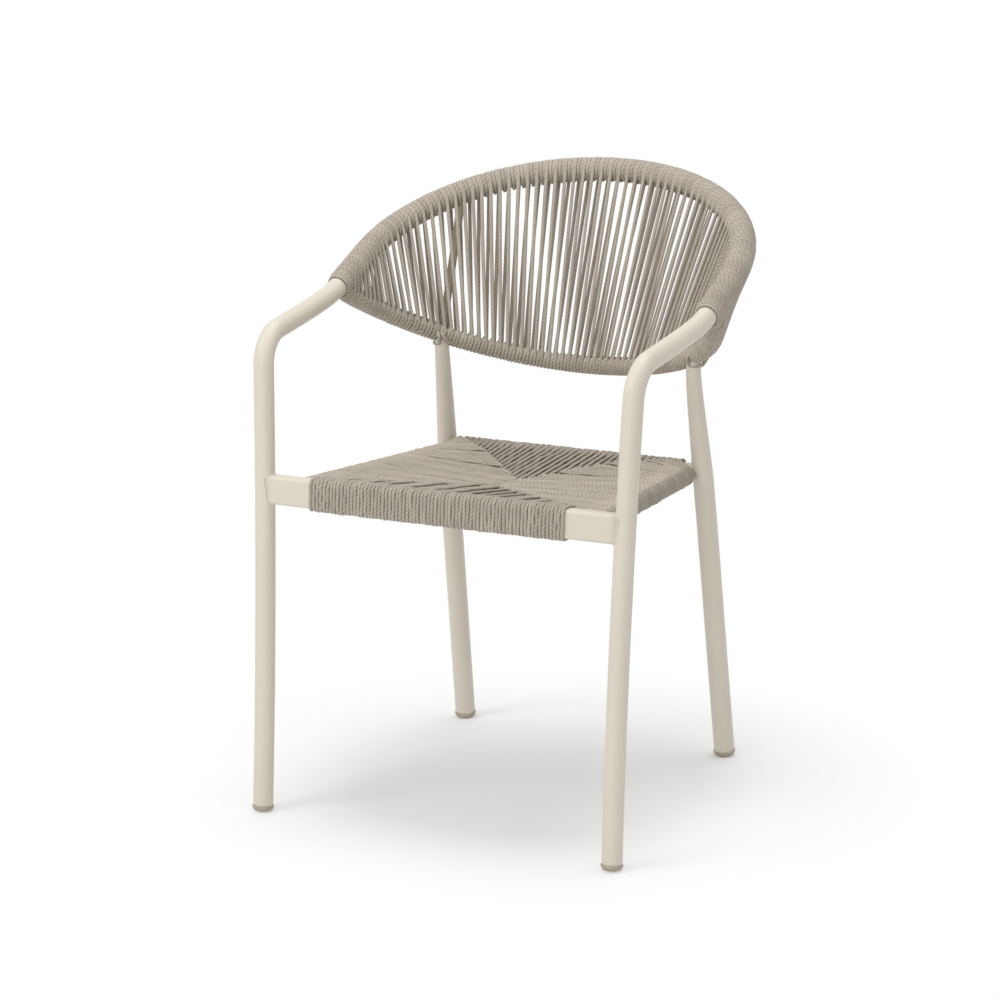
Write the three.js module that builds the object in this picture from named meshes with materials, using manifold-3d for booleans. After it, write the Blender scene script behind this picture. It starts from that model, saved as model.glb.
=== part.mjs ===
// Outdoor rope armchair: a frame of painted tubes, a rope back wound round two
// rails, and a rope seat woven round four rails. Lengths are in millimetres.
// +Z is up, the chair faces -Y and the origin lies on the floor at its middle.
import * as THREE from 'three';
import Module from 'manifold-3d';
import { mergeVertices } from 'three/addons/utils/BufferGeometryUtils.js';

const wasm = await Module();
wasm.setup();

// Fits and facets
const WELD_GAP = 0.3; // between neighbouring pieces
const JOINT_GAP = 0.6; // under the arm joints, where the arm starts to curve away
const TUBE_SIDES = 16;
const SMALL_SIDES = 12;
const WALL = 2; // of every frame tube

// Front legs and arms, one bent tube a side
const LEG_TUBE_R = 14;
const FRONT_FOOT_INSET = 15.8; // insets are measured from the widest line of the top rail
const FRONT_FOOT_Y = -209.8;
const LEG_BOW = 3.3; // how far the leg bows in halfway up
const CORNER_INSET = 6.9; // where the lines of the leg and of the arm cross
const CORNER_Y = -166.5;
const CORNER_DROP = 181.6; // drops are measured from the crown of the top rail
const CORNER_BEND_R = 49.3;
const ARM_START_DEG = 7.6; // rise of the arm behind the corner
const ARM_START_PULL = 108.8;
const ARM_END_PULL = 30;

// Top rail of the back, half an ellipse with straight ends, in one tilted plane
const HOOP_HALF_WIDTH = 284;
const HOOP_DEPTH = 240;
const HOOP_CROWN_Y = 376;
const HOOP_CROWN_Z = 846.2;
const HOOP_SLOPE_SHARE = 0.445; // fall towards the front per length
const COLLAR_Y = 52.4; // where the arm tubes end and the rope starts

// Lower rail of the back, part of an ellipse in a plane that rises to the front
const LOW_TUBE_R = 10;
const LOW_OUTSET = 12; // the ellipse is this much wider on each side than the top rail
const LOW_DEPTH = 294.5;
const LOW_CROWN_Y = 285.8;
const LOW_CROWN_DROP = 274.2;
const LOW_SLOPE_SHARE = 0.556;
const LOW_ARC_END_SHARE = 0.957; // of its half width, where it starts to run straight to the collar

// Rear legs and the stays above them
const REAR_FOOT_R = 15;
const REAR_SEAT_R = 14.8;
const REAR_TOP_R = 10;
// Each place is an inset, a Y and a height, and above the knee a drop instead of the height.
const REAR_LEG_FOOT = [68.4, 305.6, 0];
const REAR_LEG_KNEE = [72.6, 274.8, 186];
const REAR_LEG_UPPER = [
  [78.2, 236.1, 427],
  [84.4, 208.3, 266.2],
  [84, 205, 234.2],
];
const REAR_TAPER_DROP = 406.2; // the leg starts to narrow here
const STAY_R = 6;
const STAY_LOW_INSET = 84;
const STAY_TOP_INSET = 73;

// Frame of the seat
const BAR_HEIGHT = 40;
const BAR_DEPTH = 20;
const BAR_EDGE_R = 5;
const BAR_FORWARD = 2; // from the middle of the front legs
const SEAT_DROP = 388.8; // to the middle of the front bar
const SEAT_TUBE_R = 10;
const SIDE_FRONT_INSET = 59.4;
const SIDE_FRONT_LEAD = 17; // behind the middle of the front bar
const SIDE_FRONT_FALL = 0.7; // falls and rises are measured from the middle of the front bar
const SIDE_REAR_INSET = 97;
const SIDE_REAR_LEAD = 11.6; // in front of the rear rail
const SIDE_REAR_FALL = 17.4;
const REAR_RAIL_FALL = 12.9;

// Foot glides
const GLIDE_LIP = 1; // how far the lip stands out past the tube
const GLIDE_LIP_HEIGHT = 2.5;
const GLIDE_TAPER_HEIGHT = 3.5;
const GLIDE_TAPER = 2;
const GLIDE_DOME = 3;
const GLIDE_PAD_CUT = 0.5; // worn flat under the dome
const GLIDE_PLUG = 14; // length inside the tube

// Hidden spigots inside the arm joints
const SPIGOT_ARM_LENGTH = 26;
const SPIGOT_HOOP_LENGTH = 40;

// Rope
const CORD_R = 1.8;
const HOOP_SLEEVE_R = 16.2; // outside of the rope wound on the top rail between the loops
const LOW_SLEEVE_R = 12.4;
const HOOP_WIND_R = 18.2; // outside of the rope where the turns lie close, at the tips
const LOW_WIND_R = 14.4;
const COLLAR_WIND_R = 16.8;
const BACK_LOOPS = 21;
const LOOP_END_GAP = 30; // along the top rail, from the last loop to the tip
const LOW_LENGTH_SHARE = 0.8; // length along the lower rail per length along the top rail
const ARC_STEPS = 9; // of each half turn
const STRAND_LEAD = 12; // straight and square to the rail before a strand slants
const TIP_START_Y = 112; // the ropes of both rails close into one tip in front of this
const TIP_STEPS = 6;
const TIP_SIDES = 18;
const SLEEVE_OVERRUN = 8;

// Seat weave
const WEAVE_BAR_COVER = 3.8;
const WEAVE_RAIL_R = 14.5;
const WEAVE_FRONT_INSET = 90.1; // where the rope on the front bar ends
const WEAVE_FRONT_LEAD = 16; // behind the middle of the front bar
const WEAVE_REAR_INSET = 112;
const WEAVE_REAR_COVER = 3; // how far the rope runs on past the rear seams
const WEAVE_REAR_LEAD = 18.6; // in front of the rear rail
const APEX_FRONT_Y = -15;
const APEX_REAR_Y = 55;
const FRONT_SEAM_RISE = 21.6; // top and underside of the seams at the corners
const FRONT_SEAM_FALL = 23.4;
const REAR_SEAM_TOP_FALL = 1.4;
const REAR_SEAM_FALL = 26.4;
const APEX_FRONT_FALL = 6.4;
const APEX_REAR_FALL = 8.4;
const WEAVE_MIDDLE_THICK = 11;
const WEAVE_ARC_STEPS = 10;
const WEAVE_STEPS = 3;
const SHORT_STEP = 0.4; // for finding which way a rail runs

// Derived sizes
const LOW_HALF_WIDTH = HOOP_HALF_WIDTH + LOW_OUTSET;
const LOW_ARC_END_X = LOW_HALF_WIDTH * LOW_ARC_END_SHARE;
const LOW_CROWN_Z = HOOP_CROWN_Z - LOW_CROWN_DROP;
const CORNER_X = HOOP_HALF_WIDTH - CORNER_INSET;
const CORNER_Z = HOOP_CROWN_Z - CORNER_DROP;
const FRONT_FOOT_X = HOOP_HALF_WIDTH - FRONT_FOOT_INSET;
const REAR_LEG_POINTS = [
  ...[REAR_LEG_FOOT, REAR_LEG_KNEE].map(([inset, y, z]) => [HOOP_HALF_WIDTH - inset, y, z]),
  ...REAR_LEG_UPPER.map(([inset, y, drop]) => [HOOP_HALF_WIDTH - inset, y, HOOP_CROWN_Z - drop]),
];
const REAR_SEAT_Z = HOOP_CROWN_Z - REAR_TAPER_DROP;
const STAY_LOW_X = HOOP_HALF_WIDTH - STAY_LOW_INSET;
const STAY_TOP_X = HOOP_HALF_WIDTH - STAY_TOP_INSET;
const BAR_Z = HOOP_CROWN_Z - SEAT_DROP;
const LEG_Y_AT_BAR = FRONT_FOOT_Y + ((CORNER_Y - FRONT_FOOT_Y) * BAR_Z) / CORNER_Z;
const BAR_Y = LEG_Y_AT_BAR - BAR_FORWARD;
const SIDE_FRONT_X = HOOP_HALF_WIDTH - SIDE_FRONT_INSET;
const SIDE_FRONT_Y = BAR_Y + SIDE_FRONT_LEAD;
const SIDE_FRONT_Z = BAR_Z - SIDE_FRONT_FALL;
const SIDE_REAR_X = HOOP_HALF_WIDTH - SIDE_REAR_INSET;
const SIDE_REAR_Z = BAR_Z - SIDE_REAR_FALL;
const REAR_RAIL_Z = BAR_Z - REAR_RAIL_FALL;
const WEAVE_FRONT_HALF = HOOP_HALF_WIDTH - WEAVE_FRONT_INSET;
const WEAVE_FRONT_Y = BAR_Y + WEAVE_FRONT_LEAD;
const WEAVE_REAR_HALF = HOOP_HALF_WIDTH - WEAVE_REAR_INSET;
const WEAVE_REAR_COVER_HALF = WEAVE_REAR_HALF + WEAVE_REAR_COVER;
const APEX_FRONT_TOP = BAR_Z - APEX_FRONT_FALL;
const APEX_REAR_TOP = BAR_Z - APEX_REAR_FALL;
const HOOP_TILT = Math.atan(HOOP_SLOPE_SHARE);
const HOOP_CURVE_Y = HOOP_CROWN_Y - HOOP_DEPTH;
const BORE_R = LEG_TUBE_R - WALL;
const HALF_TURN_SHARE = Math.cos(Math.PI / (2 * ARC_STEPS)); // keeps the chords clear
const HOOP_LOOP_R = (HOOP_SLEEVE_R + WELD_GAP + CORD_R) / HALF_TURN_SHARE;
const LOW_LOOP_R = (LOW_SLEEVE_R + WELD_GAP + CORD_R) / HALF_TURN_SHARE;
const FRONTMOST_Y = FRONT_FOOT_Y - LEG_TUBE_R - GLIDE_LIP;
const REARMOST_Y = HOOP_CROWN_Y + HOOP_LOOP_R + CORD_R;
const CENTRE_Y = (FRONTMOST_Y + REARMOST_Y) / 2;

// Materials
const cream = new THREE.MeshStandardMaterial({ color: 0xd8d1c2, roughness: 0.5, metalness: 0 });
const rope = new THREE.MeshStandardMaterial({ color: 0xb0a898, roughness: 0.9, metalness: 0 });
const glide = new THREE.MeshStandardMaterial({ color: 0xb2a898, roughness: 0.6, metalness: 0 });
const alloy = new THREE.MeshStandardMaterial({ color: 0xb8babd, roughness: 0.35, metalness: 1 });

// A point given in measured coordinates, moved so that the origin is the middle of the base.
function at(x, y, z) {
  return new THREE.Vector3(x, y - CENTRE_Y, z);
}

// Solids and cuts
function indexed(positions, triangles) {
  const geometry = new THREE.BufferGeometry();
  geometry.setAttribute('position', new THREE.Float32BufferAttribute(positions, 3));
  geometry.setIndex(triangles);
  return geometry;
}

function toSolid(geometry) {
  const bare = geometry.clone();
  bare.deleteAttribute('normal');
  bare.deleteAttribute('uv');
  const merged = mergeVertices(bare);
  return new wasm.Manifold(new wasm.Mesh({
    numProp: 3,
    vertProperties: new Float32Array(merged.attributes.position.array),
    triVerts: new Uint32Array(merged.index.array),
  }));
}

function fromSolid(solid) {
  const mesh = solid.getMesh();
  return indexed(Array.from(mesh.vertProperties), Array.from(mesh.triVerts));
}

// Cuts the tools away and keeps the main body, without the slivers that a cut can leave.
function cut(geometry, ...tools) {
  let solid = toSolid(geometry);
  for (const tool of tools) {
    solid = solid.subtract(toSolid(tool));
  }
  const bodies = solid.decompose();
  return fromSolid(bodies.reduce((a, b) => (b.volume() > a.volume() ? b : a)));
}

function mirrored(geometry) {
  const copy = geometry.clone();
  copy.scale(-1, 1, 1);
  const order = copy.index.array;
  for (let i = 0; i < order.length; i += 3) {
    [order[i + 1], order[i + 2]] = [order[i + 2], order[i + 1]];
  }
  return copy;
}

// A block between two corners, used only to cut.
function block(low, high) {
  const size = high.clone().sub(low);
  const geometry = new THREE.BoxGeometry(size.x, size.y, size.z);
  const middle = low.clone().add(high).multiplyScalar(0.5);
  geometry.translate(middle.x, middle.y, middle.z);
  return geometry;
}

// A closed skin over sections that all have the same number of points.
function loft(sections) {
  const count = sections[0].length;
  const positions = [];
  const triangles = [];
  for (const section of sections) {
    for (const point of section) {
      positions.push(point.x, point.y, point.z);
    }
  }
  for (let i = 0; i + 1 < sections.length; i += 1) {
    for (let j = 0; j < count; j += 1) {
      const a = i * count + j;
      const b = i * count + ((j + 1) % count);
      triangles.push(a, b, b + count, a, b + count, a + count);
    }
  }
  for (const end of [0, sections.length - 1]) {
    const middle = new THREE.Vector3();
    for (const point of sections[end]) {
      middle.add(point);
    }
    middle.divideScalar(count);
    positions.push(middle.x, middle.y, middle.z);
    const hub = positions.length / 3 - 1;
    for (let j = 0; j < count; j += 1) {
      const a = end * count + j;
      const b = end * count + ((j + 1) % count);
      triangles.push(...(end === 0 ? [hub, b, a] : [hub, a, b]));
    }
  }
  return outward(indexed(positions, triangles));
}

// Turns a closed skin the right way out if it was made inside out.
function outward(geometry) {
  const p = geometry.attributes.position;
  const order = geometry.index.array;
  const corner = [new THREE.Vector3(), new THREE.Vector3(), new THREE.Vector3()];
  let volume = 0;
  for (let i = 0; i < order.length; i += 3) {
    for (let k = 0; k < 3; k += 1) {
      corner[k].fromBufferAttribute(p, order[i + k]);
    }
    volume += corner[0].dot(corner[1].clone().cross(corner[2]));
  }
  if (volume < 0) {
    for (let i = 0; i < order.length; i += 3) {
      [order[i + 1], order[i + 2]] = [order[i + 2], order[i + 1]];
    }
  }
  return geometry;
}

// Stations: a place on a path, the way it runs, and the side that angle 0 faces
function station(place, along, towards) {
  const dir = along.clone().normalize();
  const out = towards.clone().addScaledVector(dir, -towards.dot(dir)).normalize();
  return { place, dir, out, side: dir.clone().cross(out) };
}

function onRing(stop, radius, angle) {
  return stop.place.clone()
    .addScaledVector(stop.out, radius * Math.cos(angle))
    .addScaledVector(stop.side, radius * Math.sin(angle));
}

function ring(stop, radius, sides) {
  const points = [];
  for (let j = 0; j < sides; j += 1) {
    points.push(onRing(stop, radius, (2 * Math.PI * j) / sides));
  }
  return points;
}

// A solid rod. The radius is a number or one number for each station.
function rod(stations, radius, sides) {
  return loft(stations.map((stop, i) => ring(stop, radius[i] ?? radius, sides)));
}

// A tube with open ends. Each radius is a number or one number for each station.
function pipe(stations, outer, inner, sides) {
  const positions = [];
  const triangles = [];
  stations.forEach((stop, i) => {
    for (const radius of [outer[i] ?? outer, inner[i] ?? inner]) {
      for (const point of ring(stop, radius, sides)) {
        positions.push(point.x, point.y, point.z);
      }
    }
  });
  const last = stations.length - 1;
  const outside = (i, j) => i * 2 * sides + (j % sides);
  const inside = (i, j) => outside(i, j) + sides;
  const quad = (a, b, c, d) => triangles.push(a, b, c, a, c, d);
  for (let j = 0; j < sides; j += 1) {
    for (let i = 0; i < last; i += 1) {
      quad(outside(i, j), outside(i, j + 1), outside(i + 1, j + 1), outside(i + 1, j));
      quad(inside(i, j + 1), inside(i, j), inside(i + 1, j), inside(i + 1, j + 1));
    }
    quad(outside(0, j + 1), outside(0, j), inside(0, j), inside(0, j + 1));
    quad(outside(last, j), outside(last, j + 1), inside(last, j + 1), inside(last, j));
  }
  return outward(indexed(positions, triangles));
}

// Paths of the frame
// Places by length along a quarter curve, from a table of small steps.
function byLength(curve) {
  const steps = 720;
  const places = [curve(0)];
  const lengths = [0];
  for (let i = 1; i <= steps; i += 1) {
    places.push(curve(i / steps));
    lengths.push(lengths[i - 1] + places[i].distanceTo(places[i - 1]));
  }
  const total = lengths[steps];
  return {
    total,
    place(length) {
      let i = lengths.findIndex((reached) => reached >= length);
      i = Math.max(1, i);
      const share = (length - lengths[i - 1]) / (lengths[i] - lengths[i - 1]);
      return places[i - 1].clone().lerp(places[i], share);
    },
  };
}

const COLLAR = at(
  HOOP_HALF_WIDTH, COLLAR_Y, HOOP_CROWN_Z - HOOP_SLOPE_SHARE * (HOOP_CROWN_Y - COLLAR_Y),
);

const hoopCurve = byLength((share) => {
  const turn = (share * Math.PI) / 2;
  const y = HOOP_CURVE_Y + HOOP_DEPTH * Math.cos(turn);
  const z = HOOP_CROWN_Z - HOOP_SLOPE_SHARE * (HOOP_CROWN_Y - y);
  return at(HOOP_HALF_WIDTH * Math.sin(turn), y, z);
});
const HOOP_END = hoopCurve.total + (HOOP_CURVE_Y - COLLAR_Y) / Math.cos(HOOP_TILT);

const lowCurve = byLength((share) => {
  const turn = share * Math.asin(LOW_ARC_END_X / LOW_HALF_WIDTH);
  const drop = LOW_DEPTH * (1 - Math.cos(turn));
  return at(LOW_HALF_WIDTH * Math.sin(turn), LOW_CROWN_Y - drop, LOW_CROWN_Z + LOW_SLOPE_SHARE * drop);
});
const LOW_ARC_END = lowCurve.place(lowCurve.total);
const LOW_END = lowCurve.total + LOW_ARC_END.distanceTo(COLLAR);

// The place at a signed length from the crown, minus being the left half.
function placeOn(curve, length, straightTo) {
  const reach = Math.abs(length);
  let place;
  if (reach <= curve.total) {
    place = curve.place(reach);
  } else {
    const end = curve.place(curve.total);
    const way = straightTo.clone().sub(end).normalize();
    place = end.addScaledVector(way, reach - curve.total);
  }
  place.x *= Math.sign(length);
  return place;
}

const onHoop = (length) => placeOn(hoopCurve, length, COLLAR);
const onLow = (length) => placeOn(lowCurve, length, COLLAR);

// A station of a rail, whose angle 0 faces the given way.
function stationOn(path, length, towards) {
  const along = path(length + SHORT_STEP).sub(path(length - SHORT_STEP));
  return station(path(length), along, towards);
}

// For the tubes, angle 0 stands square on the plane that the rail lies in.
const HOOP_NORMAL = new THREE.Vector3(0, -HOOP_SLOPE_SHARE, 1);
const LOW_NORMAL = new THREE.Vector3(0, LOW_SLOPE_SHARE, 1);
const hoopStation = (length) => stationOn(onHoop, length, HOOP_NORMAL);
const lowStation = (length) => stationOn(onLow, length, LOW_NORMAL);

// For the loops, angle 0 faces away from the other rail.
function loopStations(length) {
  const top = onHoop(length);
  const low = onLow(length * LOW_LENGTH_SHARE);
  const apart = top.clone().sub(low);
  return {
    top: stationOn(onHoop, length, apart),
    low: stationOn(onLow, length * LOW_LENGTH_SHARE, apart.clone().negate()),
  };
}

// The length along a path's right half where its places stop being before a line.
function lengthWhere(path, total, isBefore) {
  let low = 0;
  let high = total;
  while (high - low > SHORT_STEP / 100) {
    const half = (low + high) / 2;
    if (isBefore(path(half))) {
      low = half;
    } else {
      high = half;
    }
  }
  return low;
}

const lengthAtY = (path, total, y) => lengthWhere(path, total, (place) => place.y > y - CENTRE_Y);
const lengthAtX = (path, total, x) => lengthWhere(path, total, (place) => place.x < x);

const HOOP_TIP = lengthAtY(onHoop, HOOP_END, TIP_START_Y);
const LOW_TIP = lengthAtY(onLow, LOW_END, TIP_START_Y);

// The loops are spread evenly between the tips.
const loopPlaces = [];
for (let i = 0; i < BACK_LOOPS; i += 1) {
  const share = (2 * i) / (BACK_LOOPS - 1) - 1;
  loopPlaces.push(share * (HOOP_TIP - LOOP_END_GAP));
}

// The lengths of the loops along a rail, then those of its ends on both sides.
function stops(share, endLengths) {
  const middle = loopPlaces.map((place) => place * share);
  return [...endLengths.map((end) => -end).reverse(), ...middle, ...endLengths];
}

const lowEnds = [LOW_TIP, (LOW_TIP + lowCurve.total) / 2, lowCurve.total, LOW_END];
const lowStations = stops(LOW_LENGTH_SHARE, lowEnds).map(lowStation);

// Front leg and arm
function armPath() {
  const foot = at(FRONT_FOOT_X, FRONT_FOOT_Y, 0);
  const corner = at(CORNER_X, CORNER_Y, CORNER_Z);
  const rise = THREE.MathUtils.degToRad(ARM_START_DEG);
  const run = COLLAR.clone().sub(corner);
  const armDir = new THREE.Vector3((run.x / run.y) * Math.cos(rise), Math.cos(rise), Math.sin(rise));
  armDir.normalize();
  const legMiddle = foot.clone().lerp(corner, 0.5);
  legMiddle.x -= 2 * LEG_BOW;
  const legDir = corner.clone().sub(legMiddle).normalize();
  const turn = legDir.angleTo(armDir);
  const reach = CORNER_BEND_R * Math.tan(turn / 2);
  const bendStart = corner.clone().addScaledVector(legDir, -reach);
  const bendEnd = corner.clone().addScaledVector(armDir, reach);
  const pull = foot.clone().lerp(bendStart, 0.5);
  pull.x -= 2 * LEG_BOW;
  const inward = armDir.clone().sub(legDir).normalize();
  const centre = corner.clone().addScaledVector(inward, CORNER_BEND_R / Math.cos(turn / 2));
  const hoopDir = new THREE.Vector3(0, Math.cos(HOOP_TILT), Math.sin(HOOP_TILT));
  const leg = new THREE.QuadraticBezierCurve3(foot, pull, bendStart);
  const arm = new THREE.CubicBezierCurve3(
    bendEnd, bendEnd.clone().addScaledVector(armDir, ARM_START_PULL),
    COLLAR.clone().addScaledVector(hoopDir, -ARM_END_PULL), COLLAR,
  );
  return { leg, arm, centre, bendStart, bendEnd, turn };
}

const X_AXIS = new THREE.Vector3(1, 0, 0);
const arm = armPath();

// Stations of the tube from a length up the leg to the collar.
function armStations(footCut) {
  const list = [];
  const legSteps = 3;
  const bendSteps = 7;
  const armSteps = 7;
  for (let i = 0; i < legSteps; i += 1) {
    const share = Math.max(i / legSteps, footCut / arm.leg.getLength());
    list.push(station(arm.leg.getPoint(share), arm.leg.getTangent(share), X_AXIS));
  }
  const axis = arm.bendStart.clone().sub(arm.centre);
  const end = arm.bendEnd.clone().sub(arm.centre);
  const pivot = axis.clone().cross(end).normalize();
  for (let i = 0; i <= bendSteps; i += 1) {
    const spoke = axis.clone().applyAxisAngle(pivot, (arm.turn * i) / bendSteps);
    list.push(station(arm.centre.clone().add(spoke), pivot.clone().cross(spoke), X_AXIS));
  }
  for (let i = 1; i <= armSteps; i += 1) {
    const share = i / armSteps;
    list.push(station(arm.arm.getPoint(share), arm.arm.getTangent(share), X_AXIS));
  }
  return list;
}

// Rear leg
const rearCurve = new THREE.CatmullRomCurve3(REAR_LEG_POINTS.map((p) => at(...p)), false, 'centripetal');

const onRearLeg = (length) => rearCurve.getPointAt(length / rearCurve.getLength());
const railLength = lengthWhere(onRearLeg, rearCurve.getLength(), (place) => place.z < REAR_RAIL_Z);
const REAR_RAIL_Y = onRearLeg(railLength).y + CENTRE_Y;
const SIDE_REAR_Y = REAR_RAIL_Y - SIDE_REAR_LEAD;
const WEAVE_REAR_Y = REAR_RAIL_Y - WEAVE_REAR_LEAD;

function rearRadius(z) {
  const top = REAR_LEG_POINTS[REAR_LEG_POINTS.length - 1][2];
  const low = Math.min(z / REAR_SEAT_Z, 1);
  const high = Math.max(0, (z - REAR_SEAT_Z) / (top - REAR_SEAT_Z));
  const seat = THREE.MathUtils.lerp(REAR_FOOT_R, REAR_SEAT_R, low);
  return THREE.MathUtils.lerp(seat, REAR_TOP_R, high);
}

function rearStations(footCut) {
  const steps = 8;
  const list = [];
  const lift = footCut / rearCurve.getLength();
  for (let i = 0; i <= steps; i += 1) {
    const share = lift + ((1 - lift) * i) / steps;
    list.push(station(rearCurve.getPointAt(share), rearCurve.getTangentAt(share), X_AXIS));
  }
  return list;
}

function rearRadii(stations, extra) {
  return stations.map((stop) => rearRadius(stop.place.z) + extra);
}

// Straight members
function between(a, b, towards) {
  const along = b.clone().sub(a);
  return [station(a, along, towards), station(b, along, towards)];
}

const UP = new THREE.Vector3(0, 0, 1);

// Glides, each turned with its leg and flat where it stands
function glideSizes(tubeR) {
  const edge = tubeR + GLIDE_LIP - GLIDE_TAPER;
  const ball = (edge * edge + GLIDE_DOME * GLIDE_DOME) / (2 * GLIDE_DOME);
  return { edge, ball };
}

// How far up the leg's axis the tube starts.
function tubeStart(tubeR, axis) {
  const { ball } = glideSizes(tubeR);
  const centre = (ball - GLIDE_PAD_CUT) / axis.z;
  return centre - ball + GLIDE_DOME + GLIDE_TAPER_HEIGHT + GLIDE_LIP_HEIGHT + WELD_GAP;
}

function footGlide(foot, axis, tubeR) {
  const { edge, ball } = glideSizes(tubeR);
  const plug = (tubeR - WALL) * Math.cos(Math.PI / TUBE_SIDES) - WELD_GAP;
  const lip = tubeR + GLIDE_LIP;
  const lipFoot = GLIDE_DOME + GLIDE_TAPER_HEIGHT;
  const lipTop = lipFoot + GLIDE_LIP_HEIGHT;
  const profile = [new THREE.Vector2(0, 0)];
  const domeSteps = 4;
  const sweep = Math.asin(edge / ball);
  for (let i = 1; i <= domeSteps; i += 1) {
    const turn = (sweep * i) / domeSteps;
    profile.push(new THREE.Vector2(ball * Math.sin(turn), ball - ball * Math.cos(turn)));
  }
  profile.push(new THREE.Vector2(lip, lipFoot));
  profile.push(new THREE.Vector2(lip, lipTop));
  profile.push(new THREE.Vector2(plug, lipTop));
  profile.push(new THREE.Vector2(plug, lipTop + GLIDE_PLUG));
  profile.push(new THREE.Vector2(0, lipTop + GLIDE_PLUG));
  const body = new THREE.LatheGeometry(profile, TUBE_SIDES);
  const turn = new THREE.Quaternion().setFromUnitVectors(new THREE.Vector3(0, 1, 0), axis);
  body.applyQuaternion(turn);
  const centre = foot.clone().addScaledVector(axis, (ball - GLIDE_PAD_CUT) / axis.z);
  const apex = centre.clone().addScaledVector(axis, -ball);
  body.translate(apex.x, apex.y, apex.z);
  const reach = lip * 2;
  const below = block(
    new THREE.Vector3(foot.x - reach, foot.y - reach, -reach),
    new THREE.Vector3(foot.x + reach, foot.y + reach, 0),
  );
  return cut(body, below);
}

// Sections that wrap a rail and run in to a seam, drawn outwards and upwards
function arc(centre, radius, from, to, steps) {
  const points = [];
  for (let i = 0; i <= steps; i += 1) {
    const turn = from + ((to - from) * i) / steps;
    points.push([centre[0] + radius * Math.cos(turn), centre[1] + radius * Math.sin(turn)]);
  }
  return points;
}

// Where a straight line from an inner point touches a circle, on its top or underside.
function touch(point, centre, radius, topside) {
  const run = point[0] - centre[0];
  const rise = point[1] - centre[1];
  const lean = Math.acos(Math.min(1, radius / Math.hypot(run, rise)));
  const turn = Math.atan2(topside ? rise : -rise, run);
  const facing = (turn < 0 ? turn + 2 * Math.PI : turn) - lean;
  return topside ? facing : -facing;
}

function roundSection(centre, radius, seamTop, seamBottom) {
  const from = touch(seamTop, centre, radius, true);
  const to = touch(seamBottom, centre, radius, false);
  return [seamTop, ...arc(centre, radius, from, to, WEAVE_ARC_STEPS), seamBottom];
}

function boxCorners(extra) {
  const half = BAR_DEPTH / 2 - BAR_EDGE_R;
  const tall = BAR_HEIGHT / 2 - BAR_EDGE_R;
  const mid = -BAR_Y;
  return {
    radius: BAR_EDGE_R + extra,
    innerTop: [mid - half, BAR_Z + tall],
    outerTop: [mid + half, BAR_Z + tall],
    outerBottom: [mid + half, BAR_Z - tall],
    innerBottom: [mid - half, BAR_Z - tall],
  };
}

function boxSection(extra, seamTop, seamBottom) {
  const box = boxCorners(extra);
  const steps = 3;
  const quarter = Math.PI / 2;
  const from = touch(seamTop, box.innerTop, box.radius, true);
  const to = touch(seamBottom, box.innerBottom, box.radius, false);
  return [
    seamTop,
    ...arc(box.innerTop, box.radius, from, quarter, steps),
    ...arc(box.outerTop, box.radius, quarter, 0, steps),
    ...arc(box.outerBottom, box.radius, 0, -quarter, steps),
    ...arc(box.innerBottom, box.radius, -quarter, to, steps),
    seamBottom,
  ];
}

// Front bar, a rounded box section from leg to leg
function barRing(extra, x) {
  const box = boxCorners(extra);
  const steps = 3;
  const quarter = Math.PI / 2;
  return [
    ...arc(box.outerTop, box.radius, 0, quarter, steps),
    ...arc(box.innerTop, box.radius, quarter, 2 * quarter, steps),
    ...arc(box.innerBottom, box.radius, 2 * quarter, 3 * quarter, steps),
    ...arc(box.outerBottom, box.radius, 3 * quarter, 4 * quarter, steps),
  ].map(([u, w]) => at(x, -u, w));
}

function barSolid(extra, half) {
  return loft([barRing(extra, -half), barRing(extra, half)]);
}

// Pieces of the frame
const frontAxis = arm.leg.getTangent(0);
const rearAxis = rearCurve.getTangentAt(0);
const armStops = armStations(tubeStart(LEG_TUBE_R, frontAxis));
const rearStops = rearStations(tubeStart(REAR_FOOT_R, rearAxis));
const legSolid = rod(armStops, LEG_TUBE_R + WELD_GAP, TUBE_SIDES);
const rearSolid = rod(rearStops, rearRadii(rearStops, WELD_GAP), TUBE_SIDES);
const lowSolid = rod(lowStations, LOW_TUBE_R + WELD_GAP, SMALL_SIDES);

// The top rail with a straight run added past each collar, to cut what meets it.
function hoopCutter(gap) {
  const past = HOOP_END + 2 * LEG_TUBE_R;
  const ends = [-past, ...stops(1, [hoopCurve.total, HOOP_TIP]), past];
  return rod(ends.map(hoopStation), LEG_TUBE_R + gap, TUBE_SIDES);
}

const hoopSolid = hoopCutter(WELD_GAP);
const jointSolid = hoopCutter(JOINT_GAP);

function frontLegArm() {
  return pipe(armStops, LEG_TUBE_R, BORE_R, TUBE_SIDES);
}

function backHoop() {
  const ends = stops(1, [hoopCurve.total, HOOP_TIP, HOOP_END - WELD_GAP]);
  return pipe(ends.map(hoopStation), LEG_TUBE_R, BORE_R, TUBE_SIDES);
}

// A spigot that follows the arm's last bend and runs straight into the top rail.
function armJointSleeve() {
  const steps = 3;
  const list = [];
  const arm0 = 1 - SPIGOT_ARM_LENGTH / arm.arm.getLength();
  for (let i = 0; i <= steps; i += 1) {
    const share = arm0 + ((1 - arm0) * i) / steps;
    list.push(station(arm.arm.getPointAt(share), arm.arm.getTangentAt(share), X_AXIS));
  }
  const last = hoopStation(HOOP_END - SPIGOT_HOOP_LENGTH);
  list.push(station(last.place, last.dir.negate(), X_AXIS));
  const outer = BORE_R - WELD_GAP;
  return pipe(list, outer, outer - WALL, TUBE_SIDES);
}

function lowerBackRail() {
  const body = pipe(lowStations, LOW_TUBE_R, LOW_TUBE_R - WALL, SMALL_SIDES);
  return cut(body, jointSolid);
}

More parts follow.
